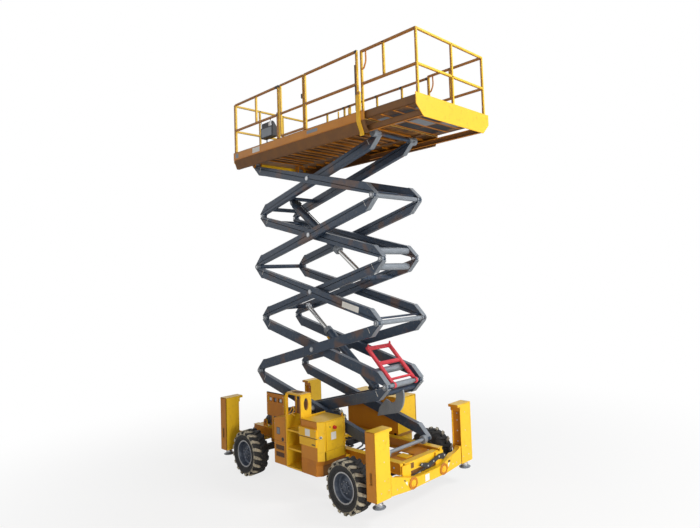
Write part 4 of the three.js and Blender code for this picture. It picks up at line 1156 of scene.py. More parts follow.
def add_chassis_frame():
    piece = Weldment()
    x0, x1 = frame_low.x, frame_high.x
    for hand in (-1, 1):
        near, far = mirrored(hand, *TRACK)
        piece.block((x0, near, RAIL_BOTTOM), (x1, far, 0.583), YELLOW, 0.003)
        piece.block((x0, near, 0.731), (x1, far, RAIL_CROWN), YELLOW, 0.003)
        wall = mirrored(hand, TRACK[1] - 0.012, TRACK[0] + 0.045)
        piece.block((x0, wall[0], 0.575), (x1, wall[1], 0.740), YELLOW, 0.002)
        sill = mirrored(hand, 0.505, 0.600)
        piece.block((-0.840, sill[0], 0.590), (0.490, sill[1], 0.680), YELLOW, 0.004)
        for ear in ((0.455, 0.476), (0.318, 0.345)):
            side = mirrored(hand, *ear)
            outline = [(EAR_X - 0.07, 0.735), (EAR_X + 0.07, 0.735), (EAR_X + 0.062, PIN_Z + 0.02)]
            outline += arc((EAR_X, PIN_Z), 0.063, 18, 162, 12)
            piece.plate(outline, 1, side, YELLOW, 0.003)
        ends = mirrored(hand, 0.318, 0.476)
        piece.rod((EAR_X, ends[0], PIN_Z), (EAR_X, ends[1], PIN_Z), 0.025, STEEL, 28)
        foot = mirrored(hand, 0.345, 0.410)
        piece.block((EAR_X - 0.07, foot[0], 0.640), (EAR_X + 0.07, foot[1], 0.660), YELLOW, 0.003)
        for x in (1.02, -1.84):
            post = mirrored(hand, 0.42, 0.50)
            piece.block((x - 0.06, post[0], 0.4825), (x + 0.06, post[1], 0.57), YELLOW, 0.004)
        bolts(piece, [(1.30 + 0.12 * i, hand * 0.5205, 0.66) for i in range(3)], (0, hand, 0), 0.010)
        for x in (-1.2, -0.5, 0.9, 1.4):
            rib = mirrored(hand, 0.445, 0.516)
            piece.block((x, rib[0], 0.583), (x + 0.010, rib[1], 0.731), YELLOW, 0.001)
    for low, high, top in ((1.55, 1.67, 0.715), (-2.22, -2.06, 0.735), (-2.49, -2.39, 0.735),
                           (-0.53, -0.39, 0.700)):
        piece.block((low, -0.41, RAIL_BOTTOM), (high, 0.41, top), YELLOW, 0.004)
    piece.block((-2.07, -0.41, RAIL_BOTTOM), (-0.52, 0.41, 0.577), PAINTED_SHADOW_BROWN, 0.002)
    piece.made("chassis_weldment", "chassis", "yellow_paint", "chassis_frame")

    well = Weldment()
    slot = 0.040
    for low, high in ((-0.392, -slot), (slot, 0.392)):
        well.block((1.050, low, 0.690), (1.480, high, 0.702), PAINTED_SHADE_ORANGE, 0.003)
        well.block((1.020, low, 0.640), (1.050, high, 0.702), PAINTED_SHADE_ORANGE, 0.003)
    well.block((1.475, -0.392, 0.690), (1.545, 0.392, 0.702), PAINTED_SHADE_ORANGE, 0.003)
    well.block((1.28, -0.200, 0.702), (1.50, -slot, 0.716), FRESH, 0.004)
    well.block((1.552, -0.38, 0.490), (1.668, 0.38, 0.566), PAINTED_SHADOW_BROWN, 0.003)
    well.block((1.662, -0.34, 0.600), (1.6702, -0.20, 0.690), PAINTED_SHADOW_BROWN, 0.002)
    bolts(well, [(1.10, -0.34, 0.702), (1.10, 0.34, 0.702), (1.50, -0.34, 0.702), (1.50, 0.34, 0.702)],
          (0, 0, 1), 0.008)
    well.block((0.80, -0.398, 0.600), (1.54, -0.3915, 0.735), PAINTED_SHADE_ORANGE, 0.002)
    well.made("front_well_cover", "chassis", "yellow_paint")


add_chassis_frame()


# Outriggers --------------------------------------------------------------------------------------
# At each end a welded beam of thick plate carries two columns of folded channel. Each column
# guides a jack leg with a round foot; the beam's flanges are bolted, with round pinned bosses.
def tapped(piece, places, axis, radius=0.011):
    """Small round-headed screws."""
    axis = Vector(axis)
    for place in places:
        at = Vector(place)
        piece.rod(at, at + axis * 0.005, radius, STEEL, 14, 0.002)


END_TURN = {"front": Matrix(), "rear": Matrix.Rotation(math.pi, 4, "Z")}
MIDDLE_X = -0.410
BEAM_FACE = 2.220
BOSS_Y, BOSS_Z = 0.370, 0.440


def add_outrigger_beam(end):
    centre = Matrix.Translation((MIDDLE_X, 0, 0))
    beam = Weldment(centre @ END_TURN[end])
    x = BEAM_FACE
    for hand in (-1, 1):
        arm = [(0, 0.350), (0.440, 0.345), (0.8597, 0.385), (0.8597, 0.685), (0.820, 0.685)]
        arm += arc((0.700, 0.735), 0.130, -30, -110, 8)
        arm += [(0.430, 0.540), (0.250, 0.500), (0, 0.500)]
        shape = [(hand * y, z) for y, z in arm]
        beam.plate(shape, 0, (x - 0.118, x - 0.012), YELLOW, 0.005)
        pad = [(hand * y, z) for y, z in ((0.44, 0.360), (0.850, 0.398), (0.850, 0.670), (0.62, 0.60))]
        beam.plate(pad, 0, (x - 0.012, x - 0.008), YELLOW, 0.001)
        y, z = hand * BOSS_Y, BOSS_Z
        beam.rod((x - 0.012, y, z), (x + 0.004, y, z), 0.094, PAINTED_SHADE_ORANGE, 40, 0.004)
        beam.ring((x + 0.004, y, z), (1, 0, 0), 0.066, 0.090, 0.008, PAINTED_SHADE_ORANGE, 40)
        beam.rod((x - 0.01, y, z), (x + 0.0195, y, z), 0.034, FRESH, 32, 0.004)
        beam.rod((x + 0.002, y, z), (x + 0.010, y, z), 0.054, FRESH, 32, 0.004)
        beam.block((2.0803, hand * 0.40 - 0.10, 0.400),
                   (x - 0.110, hand * 0.40 + 0.10, 0.700), YELLOW, 0.005)
        tapped(beam, [(x - 0.012, hand * 0.62, 0.45), (x - 0.012, hand * 0.72, 0.45)], (1, 0, 0))
        beam.block((x - 0.012, hand * 0.545 - 0.050, 0.420), (x - 0.009, hand * 0.545 + 0.050, 0.500),
                   WHITE, 0.001)
        beam.block((x - 0.012, hand * 0.545 - 0.045, 0.508), (x - 0.009, hand * 0.545 + 0.005, 0.540),
                   PLASTIC, 0.001)
    beam.block((x - 0.012, -0.085, 0.372), (x - 0.009, 0.015, 0.478), WHITE, 0.001)
    link = [(0.02, 0.545), (0.10, 0.520), (0.34, 0.590), (0.48, 0.560), (0.56, 0.600), (0.50, 0.655),
            (0.36, 0.665), (0.10, 0.600), (-0.06, 0.640), (-0.12, 0.610)]
    beam.plate(link, 0, (x - 0.106, x - 0.086), PLASTIC, 0.002)
    rod = ((-0.36, 0.500), (0.02, 0.540), (0.02, 0.560), (-0.36, 0.520))
    beam.plate([(y, z - 0.006) for y, z in rod], 0, (x - 0.100, x - 0.086), PLASTIC, 0.002)
    pins = ((-0.07, 0.622), (0.08, 0.560), (0.22, 0.592), (0.36, 0.630), (0.50, 0.615))
    tapped(beam, [(x - 0.086, y, z) for y, z in pins], (1, 0, 0), 0.015)
    beam.made(f"{end}_outrigger_crossbeam", "chassis", "yellow_paint", f"{end}_outrigger_beam")


def add_column(end, side):
    hand = (1 if side == "left" else -1) * (1 if end == "front" else -1)
    flip = Matrix.Scale(hand, 4, Vector((0, 1, 0)))
    column = Weldment(Matrix.Translation((MIDDLE_X, 0, 0)) @ END_TURN[end] @ flip)
    name = f"{end}_{side}_outrigger_column"
    inner, outer = 0.860, 1.160
    bottom, top = 0.380, 1.386
    x0, x1 = 2.008, BEAM_FACE
    column.block((x1 - 0.014, inner, bottom), (x1, outer, top - 0.012), YELLOW, 0.003)
    column.block((x0, outer - 0.012, bottom), (x1, outer, top), YELLOW, 0.003)
    column.block((x0, inner + 0.020, bottom), (x0 + 0.012, outer, top - 0.012), YELLOW, 0.003)
    column.block((x0 + 0.002, inner + 0.050, bottom), (x1 - 0.002, inner + 0.062, top - 0.014), PAINTED_SHADE_ORANGE, 0.002)
    cap = [(0.800, top - 0.045), (0.800, top), (outer, top), (outer, top - 0.014), (0.900, top - 0.014)]
    cap += arc((0.885, top - 0.060), 0.028, 60, -40, 6)
    cap += [(0.895, top - 0.115), (inner, top - 0.115), (inner, top - 0.080)]
    cap += arc((0.842, top - 0.062), 0.020, 0, 80, 5)
    column.plate(cap, 0, (x0 + 0.001, x1 - 0.001), YELLOW, 0.002)
    column.rod((2.130, 0.985, top - 0.01), (2.130, 0.985, top - 0.0002), 0.018, PAINTED_SHADOW_BROWN, 20)
    tapped(column, [(x1 - 0.001, 0.985, z) for z in (0.66, 0.93, 1.24)], (1, 0, 0), 0.009)
    tapped(column, [(x1 - 0.001, y, 0.50) for y in (0.905, 1.06)], (1, 0, 0), 0.009)
    tapped(column, [(x0 + 0.10, inner + 0.050, z) for z in (0.74, 0.92, 1.10, 1.22)], (0, -1, 0), 0.012)
    column.block((x0 + 0.080, outer - 0.0012, 0.62), (x0 + 0.135, outer, 0.80), GREY, 0.0)
    for z in (0.60, 0.86, 1.12):
        column.block((x0 + 0.012, outer - 0.022, z), (x1 - 0.014, outer - 0.011, z + 0.020), YELLOW, 0.002)
    column.made(name + "_channel", "chassis", "yellow_paint", name)

    leg = Weldment(Matrix.Translation((MIDDLE_X, 0, 0)) @ END_TURN[end] @ flip)
    x, y = 2.138, 1.035
    leg.rod((x, y, 0.300), (x, y, 1.360), 0.050, CHROME, 32)
    leg.rod((x, y, 0.420), (x, y, 1.300), 0.062, IRON, 32, 0.004)
    foot = [(0, 0.270), (0.094, 0.270), (0.100, 0.276), (0.100, 0.284), (0.075, 0.290), (0.060, 0.302),
            (0.050, 0.318),
            (0, 0.318)]
    leg.turned(foot, (x, y, 0), (0, 0, 1), GREY, 40)
    leg.ring((x, y, 0.325), (0, 0, 1), 0.049, 0.060, 0.020, STEEL, 32)
    leg.made(f"{end}_{side}_jack_leg", f"{end}_{side}_outrigger", "bright_steel",
             f"{end}_{side}_outrigger_leg")


for end in ("front", "rear"):
    add_outrigger_beam(end)
    for side in ("left", "right"):
        add_column(end, side)


# Control cabinet ---------------------------------------------------------------------------------
# Folded sheet steel on the right sill, with a chamfered front corner. The front is a hinged door
# with an emergency stop; the ground controls sit in a shallow box on the outer side.
CABINET_IN = -0.601
CABINET_OUT = -1.120
CABINET_STEP, CABINET_TOP = 0.700, 1.330
CABINET_FRONT = MIDDLE_X + 0.898
CABINET_REAR = MIDDLE_X + 0.392


def lofted(piece, lower, upper, z0, z1, finish, bevel=0.004):
    """A sheet-metal body between two plan outlines at two heights."""
    part = bmesh.new()
    rings = [[part.verts.new((x, y, z)) for x, y in plan] for plan, z in ((lower, z0), (upper, z1))]
    count = len(lower)
    part.faces.new(rings[0])
    part.faces.new(reversed(rings[1]))
    for i in range(count):
        part.faces.new((rings[0][i], rings[1][i], rings[1][(i + 1) % count], rings[0][(i + 1) % count]))
    piece.take(part, finish, bevel)


def cabinet_plan(front, chamfer):
    return [(CABINET_REAR, CABINET_IN), (front, CABINET_IN), (front, CABINET_OUT + chamfer),
            (front - chamfer, CABINET_OUT), (CABINET_REAR, CABINET_OUT)]


def walls(piece, plan, z0, z1, thick, finish, skip=()):
    """Sheet walls that stand on a plan outline, apart from the sides to skip."""
    count = len(plan)
    for i in range(count):
        if i in skip:
            continue
        a, b = Vector(plan[i]), Vector(plan[(i + 1) % count])
        along = (b - a).normalized()
        inward = Vector((along.y, -along.x))
        if inward.dot(Vector((0.2, -0.86)) - a) < 0:
            inward = -inward
        quad = [a, b, b + inward * thick - along * 0.001, a + inward * thick + along * 0.001]
        lofted(piece, [tuple(p) for p in quad], [tuple(p) for p in quad], z0, z1, finish, 0.002)


def add_control_cabinet():
    cabinet = Weldment()
    full = cabinet_plan(CABINET_FRONT, 0.085)
    walls(cabinet, full, CABINET_STEP, CABINET_TOP, 0.012, YELLOW, skip=(1,))
    lofted(cabinet, full, full, 1.318, 1.3299, YELLOW, 0.003)
    low = cabinet_plan(CABINET_FRONT - 0.048, 0.080)
    lofted(cabinet, low, cabinet_plan(CABINET_FRONT, 0.085), 0.620, CABINET_STEP, PAINTED_SHADE_ORANGE, 0.002)
    walls(cabinet, low, 0.4505, 0.621, 0.012, PAINTED_SHADE_ORANGE, skip=(1,))
    front = CABINET_FRONT
    cabinet.block((front - 0.062, -1.035, 0.4505), (front - 0.052, -0.602, 0.621), PAINTED_SHADOW_BROWN, 0.002)
    for y in ((-1.035, -1.006), (-0.626, -0.6015)):
        cabinet.block((front - 0.014, y[0], CABINET_STEP), (front - 0.0005, y[1], 1.325), YELLOW, 0.002)
    for z in ((CABINET_STEP, 0.845), (1.315, 1.325)):
        cabinet.block((front - 0.014, -1.034, z[0]), (front - 0.0005, -0.602, z[1]), YELLOW, 0.002)
    eye = [(0.440, 1.325), (0.480, 1.325), (0.480, 1.372)]
    eye += arc((0.462, 1.378), 0.020, 0, 180, 10) + [(0.440, 1.372)]
    cabinet.plate(eye, 1, (-0.642, -0.630), YELLOW, 0.001)
    cabinet.rod((0.461, -0.6435, 1.376), (0.461, -0.6285, 1.376), 0.010, PAINTED_SHADOW_BROWN, 20)
    lid = [(CABINET_REAR, 1.331), (CABINET_REAR + 0.012, 1.331), (CABINET_REAR + 0.012, 1.356),
           (CABINET_REAR, 1.356)]
    cabinet.plate(lid, 1, (-1.10, -0.62), YELLOW, 0.001)
    latch = Vector((CABINET_FRONT - 0.040, CABINET_OUT + 0.044, 1.08))
    outward = Vector((1, -1, 0)).normalized()
    cabinet.rod(latch, latch + outward * 0.010, 0.024, STEEL, 28)
    cabinet.rod(latch, latch + outward * 0.016, 0.012, PLASTIC, 20)
    cabinet.made("control_cabinet_body", "chassis", "yellow_paint", "right_front_cabinet")

    door = Weldment()
    door.block((CABINET_FRONT - 0.012, -1.003, 0.850), (CABINET_FRONT + 0.004, -0.629, 1.311), YELLOW, 0.004)
    door.rod((0.498, -0.630, 0.90), (0.498, -0.630, 1.262), 0.0065, YELLOW, 14)
    for z in (0.90, 1.06, 1.22):
        door.block((CABINET_FRONT + 0.004, -0.655, z), (0.498, -0.630, z + 0.04), YELLOW, 0.002)
    stop = Vector((CABINET_FRONT + 0.004, -0.840, 1.205))
    door.rod(stop, stop + Vector((0.012, 0, 0)), 0.030, RED_KNOB, 28)
    door.rod(stop, stop + Vector((0.034, 0, 0)), 0.014, RED_KNOB, 20)
    door.turned([(0, 0.030), (0.026, 0.030), (0.030, 0.036), (0.026, 0.048), (0, 0.050)], stop, (1, 0, 0),
                RED_KNOB, 28)
    door.rod((CABINET_FRONT + 0.004, -0.925, 1.225), (CABINET_FRONT + 0.012, -0.925, 1.225), 0.010, PLASTIC,
             16)
    door.block((CABINET_FRONT + 0.0035, -0.905, 1.010), (CABINET_FRONT + 0.0055, -0.800, 1.130), WHITE, 0.001)
    door.made("control_cabinet_door", "cabinet_door", "yellow_paint", "right_cabinet_door")


def add_ground_controls():
    box = Weldment()
    face, back = -1.155, -1.1203
    x0, x1 = -0.050, 0.420
    box.block((x0, face, 1.072), (x1, back, 1.215), FRESH, 0.004)
    box.block((x0 + 0.010, face + 0.004, 0.925), (x1 - 0.010, back, 1.058), FRESH, 0.004)
    box.block((x0 + 0.012, face + 0.012, 1.055), (x1 - 0.012, back, 1.075), PLASTIC, 0.001)
    box.block((0.130, face - 0.0018, 1.088), (0.260, face, 1.202), WHITE, 0.001)
    for x in (x0 + 0.02, x1 - 0.02):
        tapped(box, [(x, face, 1.195), (x, face, 1.092)], (0, -1, 0), 0.006)
    box.block((0.30, face + 0.002, 0.955), (0.385, face + 0.0045, 0.975), PLASTIC, 0.001)
    box.block((-0.058, face + 0.010, 1.035), (0.02, back - 0.004, 1.072), PLASTIC, 0.002)
    box.made("ground_controls", "chassis", "yellow_paint", "ground_control_box")


add_control_cabinet()
add_ground_controls()


# Entry ladder and grab post ----------------------------------------------------------------------
# The ladder is a recess folded from sheet, with pressed treads; above it a post of bent sheet with
# an oval hand hole lets a climber hold on. A steel cap closes the post.
LADDER_FOOT, LADDER_TOP, POST_TOP = 0.455, 1.330, 1.720


def add_ladder():
    ladder = Weldment()
    x0, x1 = MIDDLE_X - 0.060, MIDDLE_X + 0.390
    y0, y1 = CABINET_OUT, -0.760
    ladder.block((x0, y0 + 0.012, LADDER_FOOT), (x0 + 0.030, y1, LADDER_TOP), YELLOW, 0.003)
    ladder.block((x1 - 0.018, y0 + 0.002, LADDER_FOOT), (x1 - 0.0005, y1, LADDER_TOP), PAINTED_SHADE_ORANGE, 0.003)
    ladder.block((x0, y0, LADDER_FOOT), (x0 + 0.030, y0 + 0.012, LADDER_TOP), FRESH, 0.002)
    ladder.block((x0, -0.772, LADDER_FOOT), (x1 - 0.0005, y1, LADDER_TOP), PAINTED_SHADOW_BROWN, 0.002)
    for z in (0.470, 0.780, 1.090):
        ladder.block((x0 + 0.02, y0 + 0.008, z + 0.006), (x1 - 0.01, y1 - 0.01, z + 0.012), YELLOW, 0.002)
        ladder.block((x0 + 0.02, y0 + 0.008, z - 0.022), (x1 - 0.01, y0 + 0.022, z + 0.012), FRESH, 0.003)
        for i in range(7):
            x = x0 + 0.06 + 0.052 * i
            ladder.rod((x, y0 + 0.055, z + 0.011), (x, y0 + 0.055, z + 0.017), 0.012, YELLOW, 14, 0.003)
            ladder.rod((x, y0 + 0.115, z + 0.011), (x, y0 + 0.115, z + 0.017), 0.012, YELLOW, 14, 0.003)
    ladder.block((x0, y0, 1.320), (x0 + 0.040, y0 + 0.040, POST_TOP), FRESH, 0.006)
    ladder.block((x0, -0.922, 1.320), (x0 + 0.040, -0.900, POST_TOP), YELLOW, 0.004)
    ladder.block((x0, y0, 1.692), (x1 - 0.0005, -0.900, POST_TOP), FRESH, 0.006)
    ladder.block((x0, -0.912, 1.320), (x1 - 0.0005, -0.900, 1.560), PAINTED_SHADOW_BROWN, 0.002)
    front = [(y0, 1.320), (-0.900, 1.320), (-0.900, 1.700), (y0, 1.700)]
    hand_hole(ladder, front, (-1.010, 1.545), 0.045, 0.105, (x1 - 0.030, x1 - 0.0005))
    ladder.block((x0 + 0.10, -1.05, POST_TOP), (x0 + 0.30, -0.94, 1.728), PAINTED_SHADOW_BROWN, 0.003)
    hook = [(-0.36, -1.08, 1.42), (-0.30, -1.08, 1.50), (-0.26, -1.08, 1.44), (-0.34, -1.08, 1.36),
            (-0.24, -1.08, 1.34)]
    ladder.pipe([(x0 + 0.03, y0 + 0.03, 1.34)] + hook, 0.009, YELLOW, 0.04, 10)
    ladder.made("entry_ladder_and_post", "chassis", "yellow_paint", "entry_ladder")


def hand_hole(piece, outline, centre, half_wide, half_tall, span, steps=28):
    """A plate with an oval hole, made as a loop of quads between its edge and the oval."""
    part = bmesh.new()
    (y0, z0), (y1, z1) = outline[0], outline[2]
    inner, outer = [], []
    for i in range(steps):
        turn = 2 * math.pi * i / steps
        c, s = math.cos(turn), math.sin(turn)
        inner.append((centre[0] + half_wide * c, centre[1] + half_tall * s))
        reach = min(abs(((y1 if c > 0 else y0) - centre[0]) / c) if abs(c) > 1e-9 else 9,
                    abs(((z1 if s > 0 else z0) - centre[1]) / s) if abs(s) > 1e-9 else 9)
        outer.append((centre[0] + reach * c, centre[1] + reach * s))
    rings = []
    for loop in (inner, outer):
        for x in span:
            rings.append([part.verts.new((x, y, z)) for y, z in loop])
    order = [(0, 1), (1, 3), (3, 2), (2, 0)]
    for a, b in order:
        for i in range(steps):
            j = (i + 1) % steps
            part.faces.new((rings[a][i], rings[b][i], rings[b][j], rings[a][j]))
    piece.take(part, YELLOW, 0.0)


add_ladder()


# Rear cabinet, service panel and hoses -----------------------------------------------------------
# A sheet-metal cabinet for the tank, with a sloping lid, louvres and a filler cap. Behind it a
# service panel stands over the rear wheel, and three rubber hoses hang from it to its foot plate;
# three more, with crimped steel ends, cross the well in front of the arms.
def louvres(piece, x0, x1, z0, z1, y, count):
    pitch = (x1 - x0) / count
    # A black sheet behind the slats stands for the shade in the openings: painted shade.
    piece.block((x0, y, z0), (x1, y + 0.004, z1), PLASTIC, 0.0)
    for i in range(count + 1):
        x = x0 + pitch * i
        piece.block((x - pitch * 0.18, y - 0.004, z0 - 0.004), (x + pitch * 0.18, y + 0.002, z1 + 0.004),
                    PAINTED_SHADOW_BROWN, 0.001)
    for z in (z0, z1):
        piece.block((x0 - 0.008, y - 0.004, z - 0.006), (x1 + 0.008, y + 0.002, z + 0.006), YELLOW, 0.001)


def add_rear_cabinet():
    cabinet = Weldment()
    x0, x1 = MIDDLE_X - 0.430, MIDDLE_X - 0.062
    side = [(x0, 0.455), (x0, 1.225), (x1, 1.290), (x1, 0.455)]
    cabinet.plate(side, 1, (-1.1145, CABINET_IN), YELLOW, 0.006)
    lid = [(x0, 1.190), (x0, 1.232), (x1, 1.297), (x1, 1.255)]
    cabinet.plate(lid, 1, (-1.1185, -0.603), YELLOW, 0.003)
    louvres(cabinet, x0 + 0.07, x0 + 0.30, 0.700, 0.790, -1.116, 7)
    louvres(cabinet, x0 + 0.07, x0 + 0.30, 0.580, 0.670, -1.116, 7)
    cabinet.block((x0 + 0.085, -1.1165, 0.965), (x0 + 0.185, -1.1135, 1.085), PLASTIC, 0.001)
    cabinet.block((x0 + 0.092, -1.1175, 0.972), (x0 + 0.178, -1.1160, 1.078), GREY, 0.001)
    cabinet.rod((x0 + 0.265, -1.113, 0.895), (x0 + 0.265, -1.1195, 0.895), 0.034, PLASTIC, 32, 0.002)
    cabinet.block((x0 + 0.02, -1.1165, 0.850), (x1 - 0.01, -1.1135, 0.854), PAINTED_SHADOW_BROWN, 0.0)
    cabinet.block((x0 + 0.345, -1.1165, 0.470), (x0 + 0.348, -1.1135, 1.250), PAINTED_SHADOW_BROWN, 0.0)
    tapped(cabinet, [(x0 + 0.02, -1.1145, z) for z in (0.50, 0.80, 1.14)], (0, -1, 0), 0.006)
    cabinet.made("rear_cabinet_body", "chassis", "yellow_paint", "right_rear_cabinet")


PANEL_FOOT, PANEL_TOP = 1.120, 1.550


def add_service_panel():
    panel = Weldment()
    x0, x1 = -1.550, -0.980
    face = (-0.800, -0.770)
    for low, high in ((x0, x0 + 0.055), (x1 - 0.055, x1)):
        panel.block((low, face[0], PANEL_FOOT), (high, face[1], PANEL_TOP), YELLOW, 0.004)
    panel.block((x0 + 0.05, face[0], PANEL_FOOT), (x1 - 0.05, face[1], 1.385), PAINTED_SHADE_ORANGE, 0.003)
    panel.block((x0 + 0.05, face[0], 1.465), (x1 - 0.05, face[1], PANEL_TOP), PAINTED_SHADE_ORANGE, 0.003)
    panel.block((x0, face[0], 1.538), (x1, face[1], PANEL_TOP), PLASTIC, 0.002)
    for low, high in ((0.165, 0.215), (0.325, 0.375)):
        panel.block((x0 + low, face[0], 1.380), (x0 + high, face[1], 1.470), PAINTED_SHADE_ORANGE, 0.002)
    for x, tone in ((x0 + 0.11, WHITE), (x0 + 0.27, GREY), (x0 + 0.43, WHITE)):
        panel.block((x - 0.032, face[1] - 0.012, 1.392), (x + 0.032, face[1] - 0.002, 1.450), tone, 0.004)
    # A black strip behind the slots between the cross pieces stands for the shade in them: painted shade.
    panel.block((x0 + 0.058, face[1] - 0.003, 1.380), (x1 - 0.058, face[1], 1.470), PLASTIC, 0.0)
    for x in (-1.410, -1.160):
        panel.block((x, -0.790, 0.690), (x + 0.050, -0.760, 1.130), YELLOW, 0.003)
    panel.block((-1.410, -0.775, 0.690), (-1.110, -0.530, 0.760), FRESH, 0.003)
    panel.block((-1.410, -0.560, 0.600), (-1.110, -0.5203, 0.760), YELLOW, 0.003)
    tapped(panel, [(x, face[0], z) for x in (x0 + 0.027, x1 - 0.027) for z in (1.17, 1.34, 1.5)],
           (0, -1, 0), 0.008)
    panel.made("service_panel_plate", "chassis", "yellow_paint", "service_panel")

    hoses = Weldment()
    for x, bend_x, end_x in ((-1.500, -1.370, -1.360), (-1.320, -1.280, -1.280), (-1.060, -1.150, -1.180)):
        line = [(x, -0.785, 1.1197), (x, -0.785, 1.000), (bend_x, -0.700, 0.870), (end_x, -0.660, 0.800),
                (end_x, -0.660, 0.7603)]
        hoses.pipe(line, 0.0145, HOSE, 0.05, 14)
        for end, away in ((line[0], -0.034), (line[-1], 0.030)):
            hoses.rod(end, (end[0], end[1], end[2] + away), 0.0150, STEEL, 6, 0.001)
    hoses.block((-1.390, -0.715, 0.858), (-1.130, -0.685, 0.882), PLASTIC, 0.003)
    hoses.made("service_panel_hoses", "chassis", "dark_plastic", "rear_hoses")


def add_well_hoses():
    """Three hoses across the well, in one clamp."""
    hoses = Weldment()
    loops = [
        [(0.200, 0.640), (0.300, 0.200, 0.660), (0.420, 0.050, 0.660), (0.400, -0.200, 0.640),
         (0.250, 0.630)],
        [(0.080, 0.660), (0.150, 0.080, 0.680), (0.300, -0.050, 0.670), (0.280, -0.250, 0.620),
         (0.100, 0.650)],
        [(-0.060, 0.620), (0.050, -0.060, 0.630), (0.160, -0.150, 0.660), (0.100, -0.280, 0.660),
         (-0.050, 0.620)],
    ]
    for (y, z), *turns, (end_x, end_z) in loops:
        line = [(-0.3897, y, z), (-0.320, y, z), *turns, (end_x, -0.330, end_z), (end_x, -0.3997, end_z)]
        hoses.pipe(line, 0.0145, HOSE, 0.06, 14)
        hoses.rod(line[0], (-0.350, y, z), 0.0150, STEEL, 6, 0.001)
        hoses.rod(line[-1], (end_x, -0.365, end_z), 0.0150, STEEL, 6, 0.001)
    hoses.block((-0.120, -0.090, 0.602), (-0.060, 0.230, 0.698), PLASTIC, 0.004)
    hoses.made("well_hose_run", "chassis", "dark_plastic", "front_hoses")


add_rear_cabinet()
add_service_panel()
add_well_hoses()


# Engine side -------------------------------------------------------------------------------------
# On the left sill an open bay of folded sheet holds the engine under a one-piece cover, hinged on
# the inside, with cooling louvres and two latches on its outer face.
def add_engine_side():
    bay = frame["nodes"]["engine_bay"]
    bay.data.materials.clear()
    bay.data.materials.append(YELLOW.material)
    engine = frame["nodes"]["engine_block"]
    engine.data.materials.clear()
    engine.data.materials.append(IRON.material)
    low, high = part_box("engine_hood")
    hood = Weldment()
    side = [(low.x, 0.520), (0.424, 0.520), (0.424, 0.645), (high.x, 0.752), (high.x, 1.388), (low.x, 1.388)]
    hood.plate(side, 1, (1.094, 1.1035), YELLOW, 0.003)
    hood.block((low.x, 0.640, 1.376), (high.x, 1.1035, 1.388), YELLOW, 0.004)
    hood.rod((low.x + 0.06, 0.628, 1.392), (high.x - 0.06, 0.628, 1.392), 0.0085, YELLOW, 16)
    hood.block((low.x + 0.06, 0.628, 1.383), (high.x - 0.06, 0.645, 1.390), YELLOW, 0.001)
    # The louvre openings are black blocks: painted shade in them.
    for row in (1.18, 1.06, 0.94):
        for i in range(11):
            x = low.x + 0.22 + 0.062 * i
            hood.block((x, 1.1025, row), (x + 0.038, 1.1058, row + 0.085), PLASTIC, 0.001)
    for x in (low.x + 0.12, high.x - 0.16):
        hood.block((x, 1.1030, 0.80), (x + 0.05, 1.1058, 0.88), PLASTIC, 0.001)
    for x in (low.x + 0.004, high.x - 0.006):
        hood.block((x - 0.002, 1.094, 0.76), (x + 0.002, 1.1035, 1.37), YELLOW, 0.0)
    hood.made("engine_cover_sheet", "engine_cover", "yellow_paint", "engine_hood")


add_engine_side()


# Platform deck -----------------------------------------------------------------------------------
# A chequer-plate floor on folded cross joists, between two side members bent from one sheet: an
# upright toe board above a rolled-in skirt. The deck hangs on ears over the top scissor pins.
def chequer_plate():
    plate = Finish("deck_plate")
    clouds = plate.grain(0.30, 5, 0.65)
    dirt = plate.grain(0.04, 5, 0.7)
    place = plate.place()
    studs = plate.node("ShaderNodeTexVoronoi", {"feature": "SMOOTH_F1", "voronoi_dimensions": "2D"},
                       {"Vector": place, "Scale": 28, "Smoothness": 0.3, "Randomness": 0.15})
    raised = 1 - studs.over(0.28, 0.10)
    tone = plate.blend(clouds, (0.72, 0.40, 0.020, 1), (0.80, 0.50, 0.030, 1))
    tone = plate.blend(dirt.over(0.52, 0.14) * 0.75, tone, (0.20, 0.15, 0.09, 1))
    tone = plate.blend(raised * dirt * 0.7, tone, (0.46, 0.44, 0.40, 1))
    plate.coat(base_color=tone, roughness=dirt * 0.3 + 0.4, normal=plate.relief(raised, 0.002))
    return plate


def painted_shade_underside():
    # The decks' yellow underside in dark brown blotches with orange specks, for the shade under the floor:
    # painted shade.
    paint = Finish("painted_shade_underside")
    clouds = paint.grain(0.30, 6, 0.7)
    fine = paint.grain(0.020, 3, 0.6)
    tone = paint.blend(clouds.over(0.50, 0.16), (0.055, 0.030, 0.018, 1), (0.30, 0.125, 0.022, 1))
    tone = paint.blend(fine.over(0.62, 0.08) * 0.5, tone, (0.50, 0.22, 0.03, 1))
    paint.coat(base_color=tone, roughness=clouds * 0.3 + 0.4, normal=paint.relief(fine, 0.001))
    return paint


DECK_PLATE = chequer_plate()
PAINTED_SHADE_UNDERSIDE = painted_shade_underside()
DECK_REAR, DECK_FRONT = -2.400, 1.540
BOARD_TOP, SKIRT_FOOT = 6.280, 5.956
FLOOR = (6.130, 6.142)
TOP_PIN_Z = PIN_Z + STAGES * STAGE_RISE


